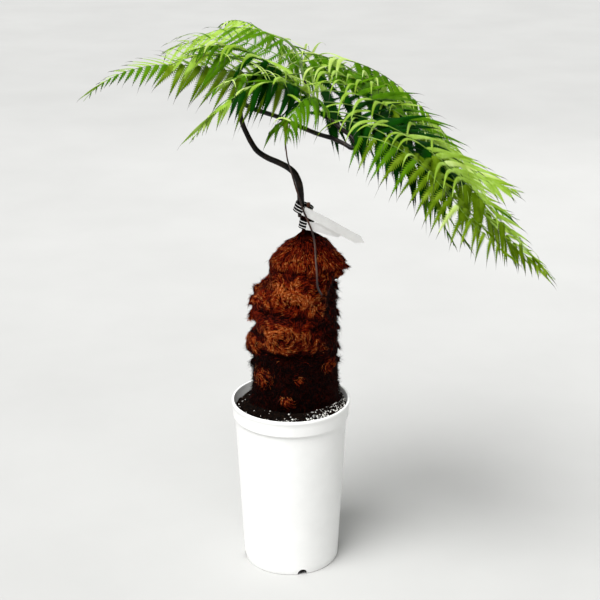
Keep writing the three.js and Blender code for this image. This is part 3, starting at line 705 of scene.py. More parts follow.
def woolZones(at, body, lump, clump, tone, scarRing):
    # Golden on the crests as painted light, maroon and black in the creases as painted shade, black near the
    # soil, maroon with loose fibre at the right
    patch = noiseAt(at, wool["patchSize"], (1, 9, 4))
    right = softStep(*wool["rightFrom"], at[:, 0] + 14 * patch + 5 * lump)
    right = right * (1 - softStep(*wool["rightUntil"], at[:, 2]))
    upper = softStep(*wool["golden"], at[:, 2] + 14 * patch + 8 * lump) * (1 - 0.85 * right)
    budGlow = 0.7 * scarRing
    for turn, z, radius, sunk in trunk["buds"]:
        far = np.linalg.norm(at - onTrunk(turn, z), axis=1)
        budGlow = np.maximum(budGlow, np.exp(-(far / (radius * 1.05)) ** 4))
    dome = softStep(*wool["dome"], at[:, 2])
    creaseShade = 1 - softStep(*wool["shadedCreases"], tone)
    tufted = softStep(*wool["tufted"], clump)
    golden = upper * softStep(0.05, 0.7, tone + 0.9 * patch) * (1 - 0.55 * dome) + 0.4 * budGlow
    rusty = upper * (1 - 0.75 * creaseShade) * 0.75 + budGlow + 0.1 * dome
    maroon = 0.4 * (1 - tufted) * upper + 0.6 * upper * (1 - softStep(-0.2, 0.6, tone + patch))
    maroon = maroon + 0.25 * (1 - upper) + 0.3 * budGlow
    maroon = maroon + 0.5 * dome * (1 - softStep(-0.3, 0.4, patch)) + 0.4 * right
    black = (1 - upper) * (1 - 0.9 * budGlow) * (1 - 0.3 * right) + 0.9 * creaseShade * (1 - dome) + 0.03
    return {
        "goldWool": body * golden * tufted * 1.4,
        "rustWool": body * rusty * (0.35 + 0.65 * tufted),
        "maroonWool": body * maroon,
        "blackFibreAndShade": body * black,
        "looseFibre": body * (0.8 * right + 0.25 * (1 - upper)) * (1 - budGlow),
    }


def dressTrunk():
    mesh = trunkPiece.data
    at = readPoints(mesh)
    normal = np.empty(at.size)
    mesh.vertex_normals.foreach_get("vector", normal)
    normal = normal.reshape(-1, 3)
    body = 1 - softStep(*wool["bare"], at[:, 2])
    flow = woolFlow(at, normal)
    crest = foldCrest(at)
    scarRing, scarPit = scarMarks(at)
    lump, ridge, clump = skinNoises(at)
    push = trunk["relief"] * (lump + wool["ridges"] * ridge + wool["clumps"] * clump)
    for spin, away, far, near in whorlsAt(at):
        push += wool["whorlRings"] * np.sin(far * 1.25 + spin) * near
    push += wool["scarRings"] * scarRing - wool["scarPits"] * scarPit
    at += normal * (push * body)[:, None]
    mesh.vertices.foreach_set("co", (at * mm).ravel())
    # Relief that drives the painted light and shade: high on the crests, low in the creases and the scar
    # pits
    tone = 0.8 * lump + 0.55 * ridge - 0.3 + crest - scarPit
    for name, values in woolZones(at, body, lump, clump, tone, scarRing).items():
        addLayer(mesh, name, np.clip(values, 0, 1))
    addLayer(mesh, "flow", flow)
    mesh.polygons.foreach_set("use_smooth", [True] * len(mesh.polygons))
    mesh.update()


dressTrunk()
# Felted wool under the strands: dark where it is packed, rusty on the crests
feltMaterial = makeMaterial("feltedTrunkWool", ["#030000", "#120201", "#380d03"], 5, 0.95, (1.2, 0.9, 1.0),
                            gloss=0)
trunkPiece.data.materials.clear()
trunkPiece.data.materials.append(feltMaterial)
print("trunk skin ready")


def strandTree():
    # Tapered, arched strands that lie along the layer called "flow"
    tree, take = newTree("woolStrands", {
        "Density": 1.0, "Length": 0.01, "Width": 0.001, "Rise": 0.001, "Droop": 0.0, "Stray": 0.3,
        "Shortest": 0.5, "Seed": 1, "Where": "rustWool", "Material": None})
    blade = addNode(tree, "GeometryNodeMeshGrid",
                    {"Size X": 1.0, "Size Y": 1.0, "Vertices X": 4, "Vertices Y": 2})
    spot = addNode(tree, "ShaderNodeSeparateXYZ", {0: addNode(tree, "GeometryNodeInputPosition")})
    share = calculate(tree, "ADD", spot.outputs["X"], 0.5)
    left = calculate(tree, "SUBTRACT", 1.04, share)
    wide = calculate(tree, "MULTIPLY", spot.outputs["Y"], take["Width"])
    up = calculate(tree, "MULTIPLY", calculate(tree, "MULTIPLY", share, left), take["Rise"])
    sag = calculate(tree, "MULTIPLY", calculate(tree, "POWER", share, 2.0), take["Droop"])
    place = addNode(tree, "ShaderNodeCombineXYZ", {
        "X": calculate(tree, "MULTIPLY", share, take["Length"]),
        "Y": calculate(tree, "MULTIPLY", wide, calculate(tree, "POWER", left, 0.7)),
        "Z": calculate(tree, "ADD", up, sag)})
    shaped = addNode(tree, "GeometryNodeSetPosition", {"Geometry": blade, "Position": place})
    spots = strewPoints(tree, take)
    flow = addNode(tree, "GeometryNodeInputNamedAttribute", {"Name": "flow"}, data_type="FLOAT_VECTOR")
    loose = randomVector(tree, (-1, -1, -1), (1, 1, 1), take["Seed"])
    stray = addNode(tree, "ShaderNodeVectorMath", {0: loose, "Scale": take["Stray"]}, operation="SCALE")
    way = addNode(tree, "ShaderNodeVectorMath", {0: flow, 1: stray}, operation="ADD")
    outwards = spots.outputs["Normal"]
    stand = addNode(tree, "FunctionNodeAlignRotationToVector", {"Vector": outwards}, axis="Z")
    turned = addNode(tree, "FunctionNodeAlignRotationToVector", {"Rotation": stand, "Vector": way},
                     axis="X", pivot_axis="Z")
    scale = addNode(tree, "ShaderNodeCombineXYZ", {
        "X": randomNumber(tree, take["Shortest"], 1.0, 5), "Y": 1.0, "Z": randomNumber(tree, 0.3, 1.0, 9)})
    strands = addNode(tree, "GeometryNodeInstanceOnPoints",
                      {"Points": spots, "Instance": shaped, "Rotation": turned, "Scale": scale})
    return closeTree(tree, take, strands)


woolTable = [
    {"piece": "goldWool", "strands": 520000.0, "length": 8, "width": 0.5, "rise": 3.5, "droop": 0.8,
     "stray": 0.35, "seed": 21, "material": "goldenFernWool", "colours": ["#7c2a06", "#a64e16", "#d89458"]},
    {"piece": "rustWool", "strands": 420000.0, "length": 9, "width": 0.55, "rise": 3, "droop": 0.5,
     "stray": 0.45, "seed": 22, "material": "rustFernWool", "colours": ["#520c01", "#741a04", "#92300a"]},
    {"piece": "maroonWool", "strands": 420000.0, "length": 9, "width": 0.55, "rise": 2.5, "droop": 0.3,
     "stray": 0.6, "seed": 23, "material": "maroonFernWool", "colours": ["#140000", "#2a0301", "#440a03"]},
    # Black fibre: root fibre near the soil, and painted shade in the creases
    {"piece": "blackFibreAndShade", "strands": 300000.0, "length": 12, "width": 0.5, "rise": 5, "droop": 2.2,
     "stray": 0.9, "seed": 24, "material": "blackRootFibreAndShade", "colours": ["#010000", "#050101", "#150604"]},
    {"piece": "looseFibre", "strands": 60000.0, "length": 14, "width": 0.45, "rise": 7, "droop": 5,
     "stray": 1.6, "seed": 25, "material": "looseRootFibre", "colours": ["#090201", "#200b06", "#3c1a0d"]},
]
strands = strandTree()
for row in woolTable:
    # Dry fern wool: fine silky scales, matt along the crests with a faint sheen
    material = makeMaterial(row["material"], row["colours"], 3, 0.7, spread=0.1, gloss=0.04)
    values = {label: row[label.lower()] * mm for label in ("Length", "Width", "Rise", "Droop")}
    piece = runTree(strands, row["piece"], trunkPiece.data, {
        **values, "Density": row["strands"], "Stray": row["stray"], "Shortest": wool["shortest"],
        "Seed": row["seed"], "Where": row["piece"], "Material": material})
    finishPiece(piece, "trunk_wool")
    print(row["piece"], "ready", len(piece.data.polygons))

finishPiece(trunkPiece, "trunk_wool", "trunk")

# Stalks: middles that began as points picked in the photo, brought to mm through the fitted camera, and
# partly moved since. Thick end first
stalks = {
    "lower": [
        [19.2, 0, 513.8], [19.1, 0, 517], [18.7, 0, 524], [16.8, 0, 551], [10, 0, 567], [2, 1, 574],
        [-11, 5, 580], [-26, 10, 585.5], [-38.5, 13, 593.5], [-47, 17, 605], [-53, 20, 616.5],
        [-57, 20, 626], [-60, 20, 639], [-59.6, 17.2, 647.3], [-58.8, 15, 650.5],
    ],
    "upper": [
        [-58.73, 14.8, 650.8], [-58, 12.7, 653.7], [-53, 5, 656], [-45, -5, 654], [-26, -20, 651],
        [-10, -35, 649], [25, -60, 639], [41, -75, 636], [58, -85, 633], [73, -95, 628],
        [81, -99.5, 624.5], [86.2, -101, 626], [86.3, -100.3, 628.9], [84.5, -98.5, 632],
    ],
    "rib": [
        [84.34, -98.34, 632.27], [82.7, -96.7, 635.1], [77, -92, 640], [68, -88, 646],
        [58, -80, 653], [42, -65, 661], [34, -50, 669], [27, -35, 680], [21, 0, 698], [16, 35, 712],
        [2, 70, 726], [-30, 110, 733],
    ],
    # The young stalk leaves the trunk's skin at this turn, height and distance out
    "youngFoot": (-58, 414, 0.8),
    "young": [
        [40.5, -54.5, 428], [39.5, -50, 444], [38, -38, 462], [37, -24, 476], [34, -17, 490],
        [28, -15.8, 506], [22, -15, 520], [17, -12.8, 536], [13, -10.8, 547], [8.4, -8.8, 562.5],
        [5.3, -11, 574], [1.5, -18, 589], [-0.1, -28, 603.3], [-0.7, -38, 616.2], [0.5, -48, 630],
        [4, -56, 640], [7, -66, 652],
    ],
    # From this step on the rib is green; how far each run goes into the next
    "greenFrom": 74, "overlap": 1.2,
    "steps": {"lower": 120, "upper": 140, "rib": 160, "young": 160},
    # The old stalk's cut end: foot, length, lean to the right
    "stub": ((27.3, -1, 500.0), 27, 3),
}


def limbTree():
    # A tapering limb along a curve, closed at both ends
    tree, take = newTree("taperedLimb", {
        "Foot Radius": 0.003, "Tip Radius": 0.002, "Swell": 0.0, "Sides": 20, "Material": None})
    along = addNode(tree, "GeometryNodeSplineParameter")
    radius = addNode(tree, "ShaderNodeMapRange",
                     {"Value": along, "To Min": take["Foot Radius"], "To Max": take["Tip Radius"]})
    place = addNode(tree, "GeometryNodeInputPosition")
    knots = addNode(tree, "ShaderNodeTexNoise", {"Vector": place, "Scale": perMm(9), "Detail": 2.0})
    swell = addNode(tree, "ShaderNodeMapRange", {"Value": knots, "From Min": 0.3, "From Max": 0.7,
                                                 "To Min": 0.0, "To Max": take["Swell"]})
    circle = addNode(tree, "GeometryNodeCurvePrimitiveCircle", {"Resolution": take["Sides"], "Radius": 1.0},
                     mode="RADIUS")
    tube = addNode(tree, "GeometryNodeCurveToMesh",
                   {"Curve": take["Geometry"], "Scale": calculate(tree, "ADD", radius, swell),
                    "Profile Curve": circle, "Fill Caps": True})
    return closeTree(tree, take, tube)


limbs = limbTree()


def runLimb(name, path, radii, swell, sides, material):
    # A poly curve through the path, given its body by the tree
    line = bpy.data.curves.new(name, "CURVE")
    line.dimensions = "3D"
    spline = line.splines.new("POLY")
    spline.points.add(len(path) - 1)
    for point, at in zip(spline.points, path):
        point.co = (*(at * mm), 1)
    foot, tip = radii
    return runTree(limbs, name, line, {"Foot Radius": foot * mm, "Tip Radius": tip * mm,
                                       "Swell": swell * mm, "Sides": sides, "Material": material})


# Leaf stalk: nearly black, waxy, with brown patches by noise as painted highlights
stalkMaterial = makeMaterial("blackFernStalk", ["#020101", "#0a0503", "#281a10"], 14, 0.36,
                             (1.2, 0.35, 0.25), gloss=0.16)
youngMaterial = makeMaterial("youngFernStalk", ["#120604", "#36190e", "#54301e"], 22, 0.45, (1.0, 0.3, 0.2))
topMaterial = makeMaterial("greenFernRib", ["#2a3a0c", "#4c6a14", "#6f8f28"], 20, 0.5, (1.0, 0.3, 0.2))
stubMaterial = makeMaterial("cutStalkWood", ["#2a1009", "#4d2213", "#7a4a2c"], 5, 0.7, (0.8, 0.5, 0.3))
turnFoot, heightFoot, outFoot = stalks["youngFoot"]
youngFoot = onTrunk(turnFoot, heightFoot) + outFoot * levelWay(turnFoot)
stalks["young"].insert(0, youngFoot.tolist())
lowerPath, upperPath, ribPath, youngPath = (
    smoothPath(stalks[key], steps) for key, steps in stalks["steps"].items())


def buildStalks():
    def onwards(path):
        # Each run goes a little way into the next, so that no seam shows
        return np.vstack([path, path[-1] + unit(path[-1] - path[-2]) * stalks["overlap"]])

    def rooted(path, way):
        return np.vstack([path[0] + np.array(way), path])

    foot, length, lean = stalks["stub"]
    way = np.array([math.sin(math.radians(lean)), 0, math.cos(math.radians(lean))])
    stub = np.array(foot) + np.linspace(0, length, 12)[:, None] * way
    green = stalks["greenFrom"]
    # [piece, middle, radii, swell, sides, material, slot, nodes]
    rows = [
        ("stalkLower", rooted(onwards(lowerPath), [0.4, 0, -6]), (4.8, 2.9), 0.25, 24, stalkMaterial,
         "stalk", ["stalk_lower"]),
        ("stalkUpper", onwards(upperPath), (2.9, 2.6), 0.25, 24, stalkMaterial, "stalk", ["stalk_upper"]),
        ("frondRib", ribPath[:green], (2.6, 1.9), 0.15, 20, stalkMaterial, "stalk", ["main_rib"]),
        ("frondRibTop", ribPath[green - 2:], (1.9, 1.3), 0.1, 20, topMaterial, "stalk", ["main_rib"]),
        ("youngStalk", rooted(youngPath, [-1.5, 2.5, -5]), (1.4, 0.8), 0.1, 12, youngMaterial,
         "young_stalk", ["young_stalk"]),
        ("oldStalkStub", stub, (2.7, 2.3), 0.3, 16, stubMaterial, "trunk_wool", []),
    ]
    for name, path, radii, swell, sides, material, slot, nodes in rows:
        finishPiece(runLimb(name, path, radii, swell, sides, material), slot, *nodes)
    print("stalks ready")


buildStalks()

# Fronds: the rule that the solids are grown by, with finer toothed leaflets. `at` is the share of the
# rib's run, heading and spread go from foot to tip, and pitch is the foot's, the bow's and the tip's.
# Lift and weight are the left and right rows'. Fill is a leaflet's width against its room, slimness against
# its length, and the four tones are left and right, inside and outside. The numbers from length to slimness,
# all but pairs, weren't chosen one by one: another program searched them against the photo's outline
frondKeys = ("name", "at", "length", "heading", "pitch", "pairs", "leaflet", "lift", "weight", "spread",
             "forward", "shrinking", "fill", "slimness", "tones", "shape")
frondTable = [
    ("frond_left_1", 0.525, 295, (202, 195), (-5, 44, -52), 21, 86, (-36, 18), (0.4, 0.15), (77, 34), 45,
     0.9, 1.7, 0.42, "olive lime leaf lime",
     {"hang": (2.2, 1), "handWidth": (1, 0.5), "archedShare": 0, "wing": 0.42}),
    ("frond_left_2", 0.38, 176, (204, 172), (40, 47, -38), 14, 63, (-44, -3), (1.1, 0.65), (76, 37), 32,
     2.3, 1.3, 0.26, "deep leaf leaf lime", {"hang": (1.3, 1), "archedSpread": -12, "archedWidth": 0.8}),
    ("frond_left_3", 0.275, 213, (216, 208), (64, -39, -47), 15, 74, (-31, -2), (0.8, 0.9), (75, 15), 39,
     1.1, 1.6, 0.31, "deep leaf lime lime",
     {"archedSpread": -12, "archedWidth": 0.8, "tail": (0.7, 0.34, 0.28)}),
    ("frond_left_4", 0.565, 212, (143, 171), (22, 14, -33), 15, 80, (-30, 19), (0.7, 0.6), (75, 32), 35,
     3.4, 1.35, 0.26, "leaf leaf lime lime",
     {"handWidth": (0.9, 0.5), "toothWidth": 0.36, "archedShare": 0, "wing": 0.12}),
    ("frond_left_5", 0.815, 158, (144, 162), (21, 0, -36), 11, 67, (-18, -5), (0.5, 0.55), (87, 23), 34,
     2.2, 1.15, 0.27, "leaf lime lime pale", {"handWidth": (1, 0.7), "wing": 0.45, "archedShare": 0}),
    ("frond_tip", 1, 120, (122, 131), (11, 14, -38), 11, 51, (-25, -22), (0.55, 0.5), (71, 27), 31,
     1.6, 1.0, 0.23, "lime leaf lime leaf", {"archedShare": 0}),
    ("frond_right_1", 0.61, 308, (31, 3), (12, -57, -50), 17, 74, (-13, -33), (0.9, 1.05), (82, 28), 38,
     2, 1.4, 0.3, "lime leaf lime lime",
     {"archedShare": 0.5, "archedUntil": 0.42, "archedWidth": 0.65, "handWidth": (0.85, 1)}),
    ("frond_right_2", 0.49, 356, (24, -9), (10, -86, -9), 20, 79, (12, -18), (0.05, 0.65), (76, 21), 34,
     4.2, 1.35, 0.33, "leaf deep lime lime",
     {"archedShare": 0.85, "archedUntil": 0.62, "archedWidth": 0.5, "handWidth": (0.7, 1)}),
    ("frond_right_3", 0.375, 429, (-1, -2), (10, -89, -32), 22, 84, (10, -40), (0, 1.1), (62, 37), 50,
     2.6, 1.35, 0.32, "leaf deep lime olive", {"handWidth": (0.6, 1), "freshFrom": (0.15, 0.5)}),
    ("frond_right_4", 0.24, 388, (-16, 10), (6, -69, -41), 22, 75, (14, -54), (0.15, 0.75), (81, 22), 40,
     2.5, 1.6, 0.34, "deep deep lime olive", {"handWidth": (0.62, 1), "freshFrom": (0.15, 0.5)}),
    ("frond_right_5", 0.03, 273, (-28, 3), (12, -90, -22), 17, 54, (7, -51), (0.5, 0.7), (119, 75), 12,
     3.4, 1.3, 0.31, "deep leaf olive olive",
     {"freshFrom": (-0.1, 0.5), "archedShare": 0, "shortest": 1, "wing": 0.3}),
    ("frond_right_6", 0.1, 237, (23, -10), (-5, -77, -56), 12, 55, (-16, -26), (1, 0.7), (81, 30), 38,
     2.5, 1.3, 0.27, "deep deep leaf leaf", {}),
    ("frond_back_1", 0.78, 233, (50, 13), (-15, -41, -53), 14, 65, (-21, -26), (0.65, 0.45), (80, 30), 32,
     2.1, 1.15, 0.23, "lime leaf lime lime", {}),
    ("frond_back_2", 0.96, 157, (54, 31), (-29, -34, -58), 11, 64, (-32, -36), (0.85, 0.95), (70, 20), 43,
     3.5, 1.35, 0.28, "lime leaf lime lime", {}),
    ("frond_front", 0.17, 125, (227, 239), (80, -15, -97), 10, 57, (-23, -16), (1, 1), (81, 38), 45,
     2.9, 1.5, 0.3, "leaf deep leaf leaf", {"archedShare": 0.12, "wing": 0.4}),
    ("frond_young", 1, 46, (253, 186), (34, -23, -59), 3, 52, (-26, -30), (1.15, 1.25), (71, 31), 33,
     1.5, 3.05, 0.36, "olive leaf leaf leaf", {"archedShare": 0, "wing": 0.5, "toothPitch": 2.6}),
]
fronds = [dict(zip(frondKeys, row)) for row in frondTable]
growth = {
    "firstSeed": 1000, "seedStep": 37, "archSteps": 60, "ribRadii": (0.8, 0.25), "ribSides": 6,
    "ribSunk": 0.8, "firstShare": 0.05, "lastShare": 0.95, "widestShare": 0.22, "footLength": 0.68,
    "lengths": (0.94, 1.06), "leastLength": 0.1, "tipFlat": 0.6, "crowding": 0.88, "jitter": 9,
    # Finer than the solids: more pairs, and teeth along each leaflet
    "morePairs": 1.2, "toothPitch": 3.0, "fewestTeeth": 4,
    "wing": 0.58, "toothWidth": 0.5, "toothLean": 0.8, "tipLean": 1.15, "knee": 0.6, "droop": 0.2,
    "keel": 0.3,
    # Half width: a short shoulder, then a long taper to a drawn-out tip that ends in a thin thread
    "shoulder": (0.75, 1.6), "taper": (1.25, 1.05), "threadShare": 0.26, "leastThread": 1.5,
    "threadDip": 0.25, "threadHalves": (0.45, 0.22), "threadRaised": 0.12,
    # How leaflets differ: turned about their own length, sagging more or less, some shorter
    "twist": 24, "weightSpread": 0.45, "shortest": 0.8,
    # Some arch up towards the light first, and each frond ends in one toothed tail
    "archedShare": 0.4, "archedLift": 50, "archedTop": 10, "archedUnder": -12, "archedWeight": 2.2,
    "archedWidth": 0.42, "archedSpread": 64, "archedForward": 0.25, "archedSag": 2.2, "archedUntil": 0.9,
    "handWidth": (1, 1), "hang": (1, 1), "freshFrom": (0.4, 0.75), "tail": (0.87, 0.14, 0.17),
    # A few are paler than their neighbours, as painted highlights, and a few end in a long dry thread
    "paleShare": 0.05, "wispShare": 0.07, "wispLength": 2.4,
}
# Fronds that stand between two of the solids' fronds, by the same rule and within their reach:
# [first, second, share of the way, share of the length, tones]
betweenShape = {"spread": (78, 34), "forward": 34, "shrinking": 2.1, "fill": 1.3, "slimness": 0.26,
                "shape": {}}
betweens = [
    ("frond_right_1", "frond_right_2", 0.5, 0.9, "lime leaf lime lime"),
    ("frond_right_2", "frond_right_3", 0.5, 0.9, "leaf deep lime leaf"),
    ("frond_right_3", "frond_right_4", 0.5, 0.9, "deep deep lime olive"),
    ("frond_right_4", "frond_right_5", 0.4, 0.8, "deep deep olive olive"),
    ("frond_right_3", "frond_right_6", 0.6, 0.9, "deep deep olive olive"),
    ("frond_left_1", "frond_left_2", 0.45, 0.8, "leaf leaf lime lime"),
    ("frond_left_2", "frond_left_3", 0.5, 0.8, "deep leaf leaf lime"),
    ("frond_right_1", "frond_back_1", 0.5, 0.85, "lime leaf lime lime"),
]


def allFronds():
    byName = {frond["name"]: frond for frond in fronds}
    rows = list(fronds)
    for first, second, way, size, tones in betweens:
        a, b = byName[first], byName[second]

        def blend(x, y):
            return tuple(blend(p, q) for p, q in zip(x, y)) if isinstance(x, tuple) else x + (y - x) * way
        blended = ("at", "length", "heading", "pitch", "leaflet", "lift", "weight")
        row = {"name": "between", **{key: blend(a[key], b[key]) for key in blended}}
        row["length"] *= size
        rows.append({**row, **betweenShape, "pairs": (a["pairs"] + b["pairs"]) * size / 2, "tones": tones})
    return rows


class LeafBook:
    # Points and faces of one kind of leaf, gathered to be joined
    def __init__(self):
        self.points, self.faces, self.count = [], [], 0

    def add(self, points, faces):
        self.points.append(points)
        self.faces.append(faces + self.count)
        self.count += len(points)


def ribStations(frond, foot):
    steps = growth["archSteps"]
    share = np.linspace(0, 1, steps + 1)
    start, end = frond["heading"]
    heading = np.radians(start + (end - start) * share)
    rise, bow, fall = frond["pitch"]
    pitch = np.radians((1 - share) ** 2 * rise + 2 * share * (1 - share) * bow + share ** 2 * fall)
    along = np.stack([np.cos(pitch) * np.cos(heading), np.cos(pitch) * np.sin(heading), np.sin(pitch)], 1)
    side = np.stack([np.sin(heading), -np.cos(heading), np.zeros(steps + 1)], 1)
    place = foot + np.vstack([[0, 0, 0], np.cumsum(along[:-1], 0)]) * frond["length"] / steps
    return place, along, side


def stationAt(stations, share):
    place, along, side = (pointAt(part, share) for part in stations)
    along, side = unit(along), unit(side)
    return place, along, side, unit(np.cross(side, along))


def leafletLength(frond, share):
    widest, foot = growth["widestShare"], growth["footLength"]
    if share < widest:
        return frond["leaflet"] * (foot + (1 - foot) * share / widest)
    gone = (share - widest) / (1 - widest)
    return frond["leaflet"] * max(growth["leastLength"], 1 - gone ** frond["shrinking"])


def growLeaflet(station, hand, share, frond, length, width, wander, blades, threads):
    place, along, side, up = station
    shape = {**growth, **frond["shape"]}
    right = int(hand > 0)
    teeth = max(shape["fewestTeeth"], round(length / shape["toothPitch"]))
    pitch = length / teeth
    run = (np.arange(teeth) + 0.5) / teeth
    tilt = math.radians(frond["lift"][right] * (1 - shape["tipFlat"] * share ** 2) + wander["lift"])
    inner, outer = frond["spread"]
    spread = inner + (outer - inner) * share + wander["spread"]
    angle = np.radians(spread - frond["forward"] * wander["forward"] * run)[:, None]
    level = along * np.cos(angle) * math.cos(tilt) + side * hand * np.sin(angle) * math.cos(tilt)
    way = level + up * math.sin(tilt)
    way[:, 2] -= frond["weight"][right] * wander["weight"] * run ** wander["sag"]
    way = unit(way)
    path = place + np.vstack([[0, 0, 0], np.cumsum(way * length / teeth, 0)])
    across = unit(along - way * (way @ along)[:, None])
    face = np.cross(way, across) * hand
    twist = math.radians(wander["twist"]) * run[:, None]
    across, face = (across * np.cos(twist) + face * np.sin(twist),
                    face * np.cos(twist) - across * np.sin(twist))
    nodes = np.linspace(0, 1, teeth + 1)
    (shoulder, widening), (bend, fineness) = shape["shoulder"], shape["taper"]
    outline = np.minimum(1, shoulder + widening * nodes) * (1 - nodes ** bend) ** fineness
    half = width / 2 * outline
    nodeAcross, nodeFace = np.vstack([across, across[-1:]]), np.vstack([face, face[-1:]])
    middle = (path[:-1] + path[1:]) / 2
    reach = ((half[:-1] + half[1:]) / 2)[:, None]
    core, knee, keel = shape["wing"], shape["knee"], shape["keel"]
    lean, broad = shape["toothLean"] * pitch, shape["toothWidth"] * pitch / 2
    drop = face * reach * (shape["droop"] + keel * core)
    points, faces, count = [path], [], teeth + 1
    j = np.arange(teeth)
    for edge in (-1, 1):
        wing = path + nodeAcross * (edge * half * core)[:, None] - nodeFace * (half * core * keel)[:, None]
        tooth = middle + across * edge * reach * (knee * core + (1 - knee))
        tooth = tooth + way * lean * knee - drop * knee
        tip = middle + across * edge * reach + way * lean * shape["tipLean"] - drop
        points += [wing, tooth + way * broad, tooth - way * broad, tip]
        w, f, b, t = count, count + teeth + 1, count + 2 * teeth + 1, count + 3 * teeth + 1
        quads = np.concatenate([np.stack(four, 1) for four in (
            (j, j + 1, w + j + 1, w + j), (w + j, w + j + 1, f + j, b + j), (b + j, f + j, t + j, t + j))])
        faces.append(quads if edge * hand > 0 else quads[:, ::-1])
        count += 4 * teeth + 1
    blades.add(np.vstack(points), np.vstack(faces))
    # The tip runs out in a thin thread
    thread = max(shape["leastThread"], length * shape["threadShare"]) * wander["thread"]
    end = way[-1] - np.array([0, 0, shape["threadDip"]])
    start = path[-3] if teeth > 3 else path[-2]
    thick, thin = (across[-1] * half for half in shape["threadHalves"])
    points = np.array([start + thick, start - thick, path[-1] + thin, path[-1] - thin,
                       path[-1] + unit(end) * thread * 0.5])
    points[:4] += face[-1] * shape["threadRaised"]
    threads.add(points, np.array([[0, 1, 3, 2], [2, 3, 4, 4]]))


def growRib(stations, book):
    place, along, side = stations
    radii = np.linspace(*growth["ribRadii"], len(place))[:, None]
    up = unit(np.cross(side, along))
    place = place - up * growth["ribSunk"]
    sides = growth["ribSides"]
    points = np.stack([place + (up * math.cos(a) + side * math.sin(a)) * radii
                       for a in (fullTurn * j / sides for j in range(sides))], 1).reshape(-1, 3)
    i, j = np.meshgrid(np.arange(len(place) - 1), np.arange(sides), indexing="ij")
    a, b = (i * sides + j).ravel(), (i * sides + (j + 1) % sides).ravel()
    book.add(points, np.stack([a, b, b + sides, a + sides], 1))


def leafMaterial(name, colours, through):
    # Living fern leaf: thin, dull waxy skin that light comes through
    return makeMaterial(name, colours, 30, 0.6, None, 0.06, through, gloss=0.03)


# Each tone is a plain colour dealt out by spray and stands for painted light and shade, from leaves in full
# light to
# those deep inside: pale for painted highlights, lime for sunlit, leaf for half light, deep for deep shade,
# olive for hanging leaflets, partly the undersides' own duller green and partly painted half shade. For
# each, its piece and its material
leafKinds = {
    "pale": ("leafletsHighlight", leafMaterial("highlightFernLeaf", ["#b0cc5a", "#c4dc7a", "#d8ee9c"], 0.3)),
    "lime": ("leafletsSunlit", leafMaterial("sunlitFernLeaf", ["#82a424", "#98bc44", "#b4d46a"], 0.3)),
    "leaf": ("leafletsMidLight", leafMaterial("midLightFernLeaf", ["#366002", "#4a7806", "#5e8c0c"], 0.25)),
    "deep": ("leafletsDeepShade", leafMaterial("deepShadeFernLeaf", ["#022000", "#053000", "#0c4400"], 0.06)),
    "olive": ("leafletsOlive", leafMaterial("oliveFernLeaf", ["#445e02", "#5e7c0c", "#84a02a"], 0.25)),
    "thread": ("leafletTips", makeMaterial("driedLeafTip", ["#14100a", "#2a2410"], 20, 0.6, None, 0.06)),
    "rib": ("sideRibs", makeMaterial("greenLeafRib", ["#3c5808", "#567a10", "#789c24"], 40, 0.5, None,
                                     0.06)),
}
# Arched leaflets catch the light
brighter = {"pale": "pale", "lime": "pale", "leaf": "pale", "deep": "lime", "olive": "lime"}


def growPair(frond, stations, share, room, random, chance, books):
    # One leaflet to each side, drawn from two sources of random numbers
    shape = {**growth, **frond["shape"]}
    tones = frond["tones"].split()
    least, most = shape["lengths"]
    for right, hand in enumerate((-1, 1)):
        wander = {"sag": 1, "forward": 1}
        wander["lift"] = (next(random) - 0.5) * 2 * shape["jitter"]
        wander["spread"] = (next(random) - 0.5) * shape["jitter"]
        length = leafletLength(frond, share) * (least + (most - least) * next(random))
        length *= shape["shortest"] + (1 - shape["shortest"]) * math.sqrt(next(chance))
        wander["weight"] = (1 + (next(chance) - 0.5) * 2 * shape["weightSpread"]) * shape["hang"][right]
        wander["twist"] = (next(chance) - 0.5) * 2 * shape["twist"]
        width = min(room * frond["fill"], length * frond["slimness"]) * shape["handWidth"][right]
        # Leaflets further out take the outside tones, mostly the sunlit ones: painted light
        outside = 2 if next(chance) < softStep(*shape["freshFrom"], share) else 0
        tone = tones[outside + right]
        flattest = frond["lift"][right]
        wander["thread"] = shape["wispLength"] if next(chance) < shape["wispShare"] else 1
        if tone in ("lime", "olive") and next(chance) < shape["paleShare"]:
            tone = "pale"
        lucky = next(chance) < shape["archedShare"]
        if lucky and share < shape["archedUntil"] and flattest < shape["archedUnder"]:
            wander["lift"] += min(shape["archedLift"], shape["archedTop"] - flattest)
            wander["weight"] *= shape["archedWeight"]
            wander["spread"] += shape["archedSpread"]
            wander["sag"], wander["forward"] = shape["archedSag"], shape["archedForward"]
            width *= shape["archedWidth"]
            tone = brighter[tone]
        growLeaflet(stationAt(stations, share), hand, share, frond, length, width, wander,
                    books[tone], books["thread"])


def growTail(frond, stations, books):
    # The tail goes on along the rib as one toothed leaflet
    start, size, slim = {**growth, **frond["shape"]}["tail"]
    rule = {"lift": (0, 0), "weight": (0.15, 0.15), "spread": (3, 3), "forward": 2, "shape": {}}
    still = {"lift": 0, "spread": 0, "weight": 1, "twist": 0, "sag": 1, "forward": 1, "thread": 1}
    length = frond["length"] * size
    tone = frond["tones"].split()[-1]
    growLeaflet(stationAt(stations, start), 1, start, rule, length, length * slim, still, books[tone],
                books["thread"])


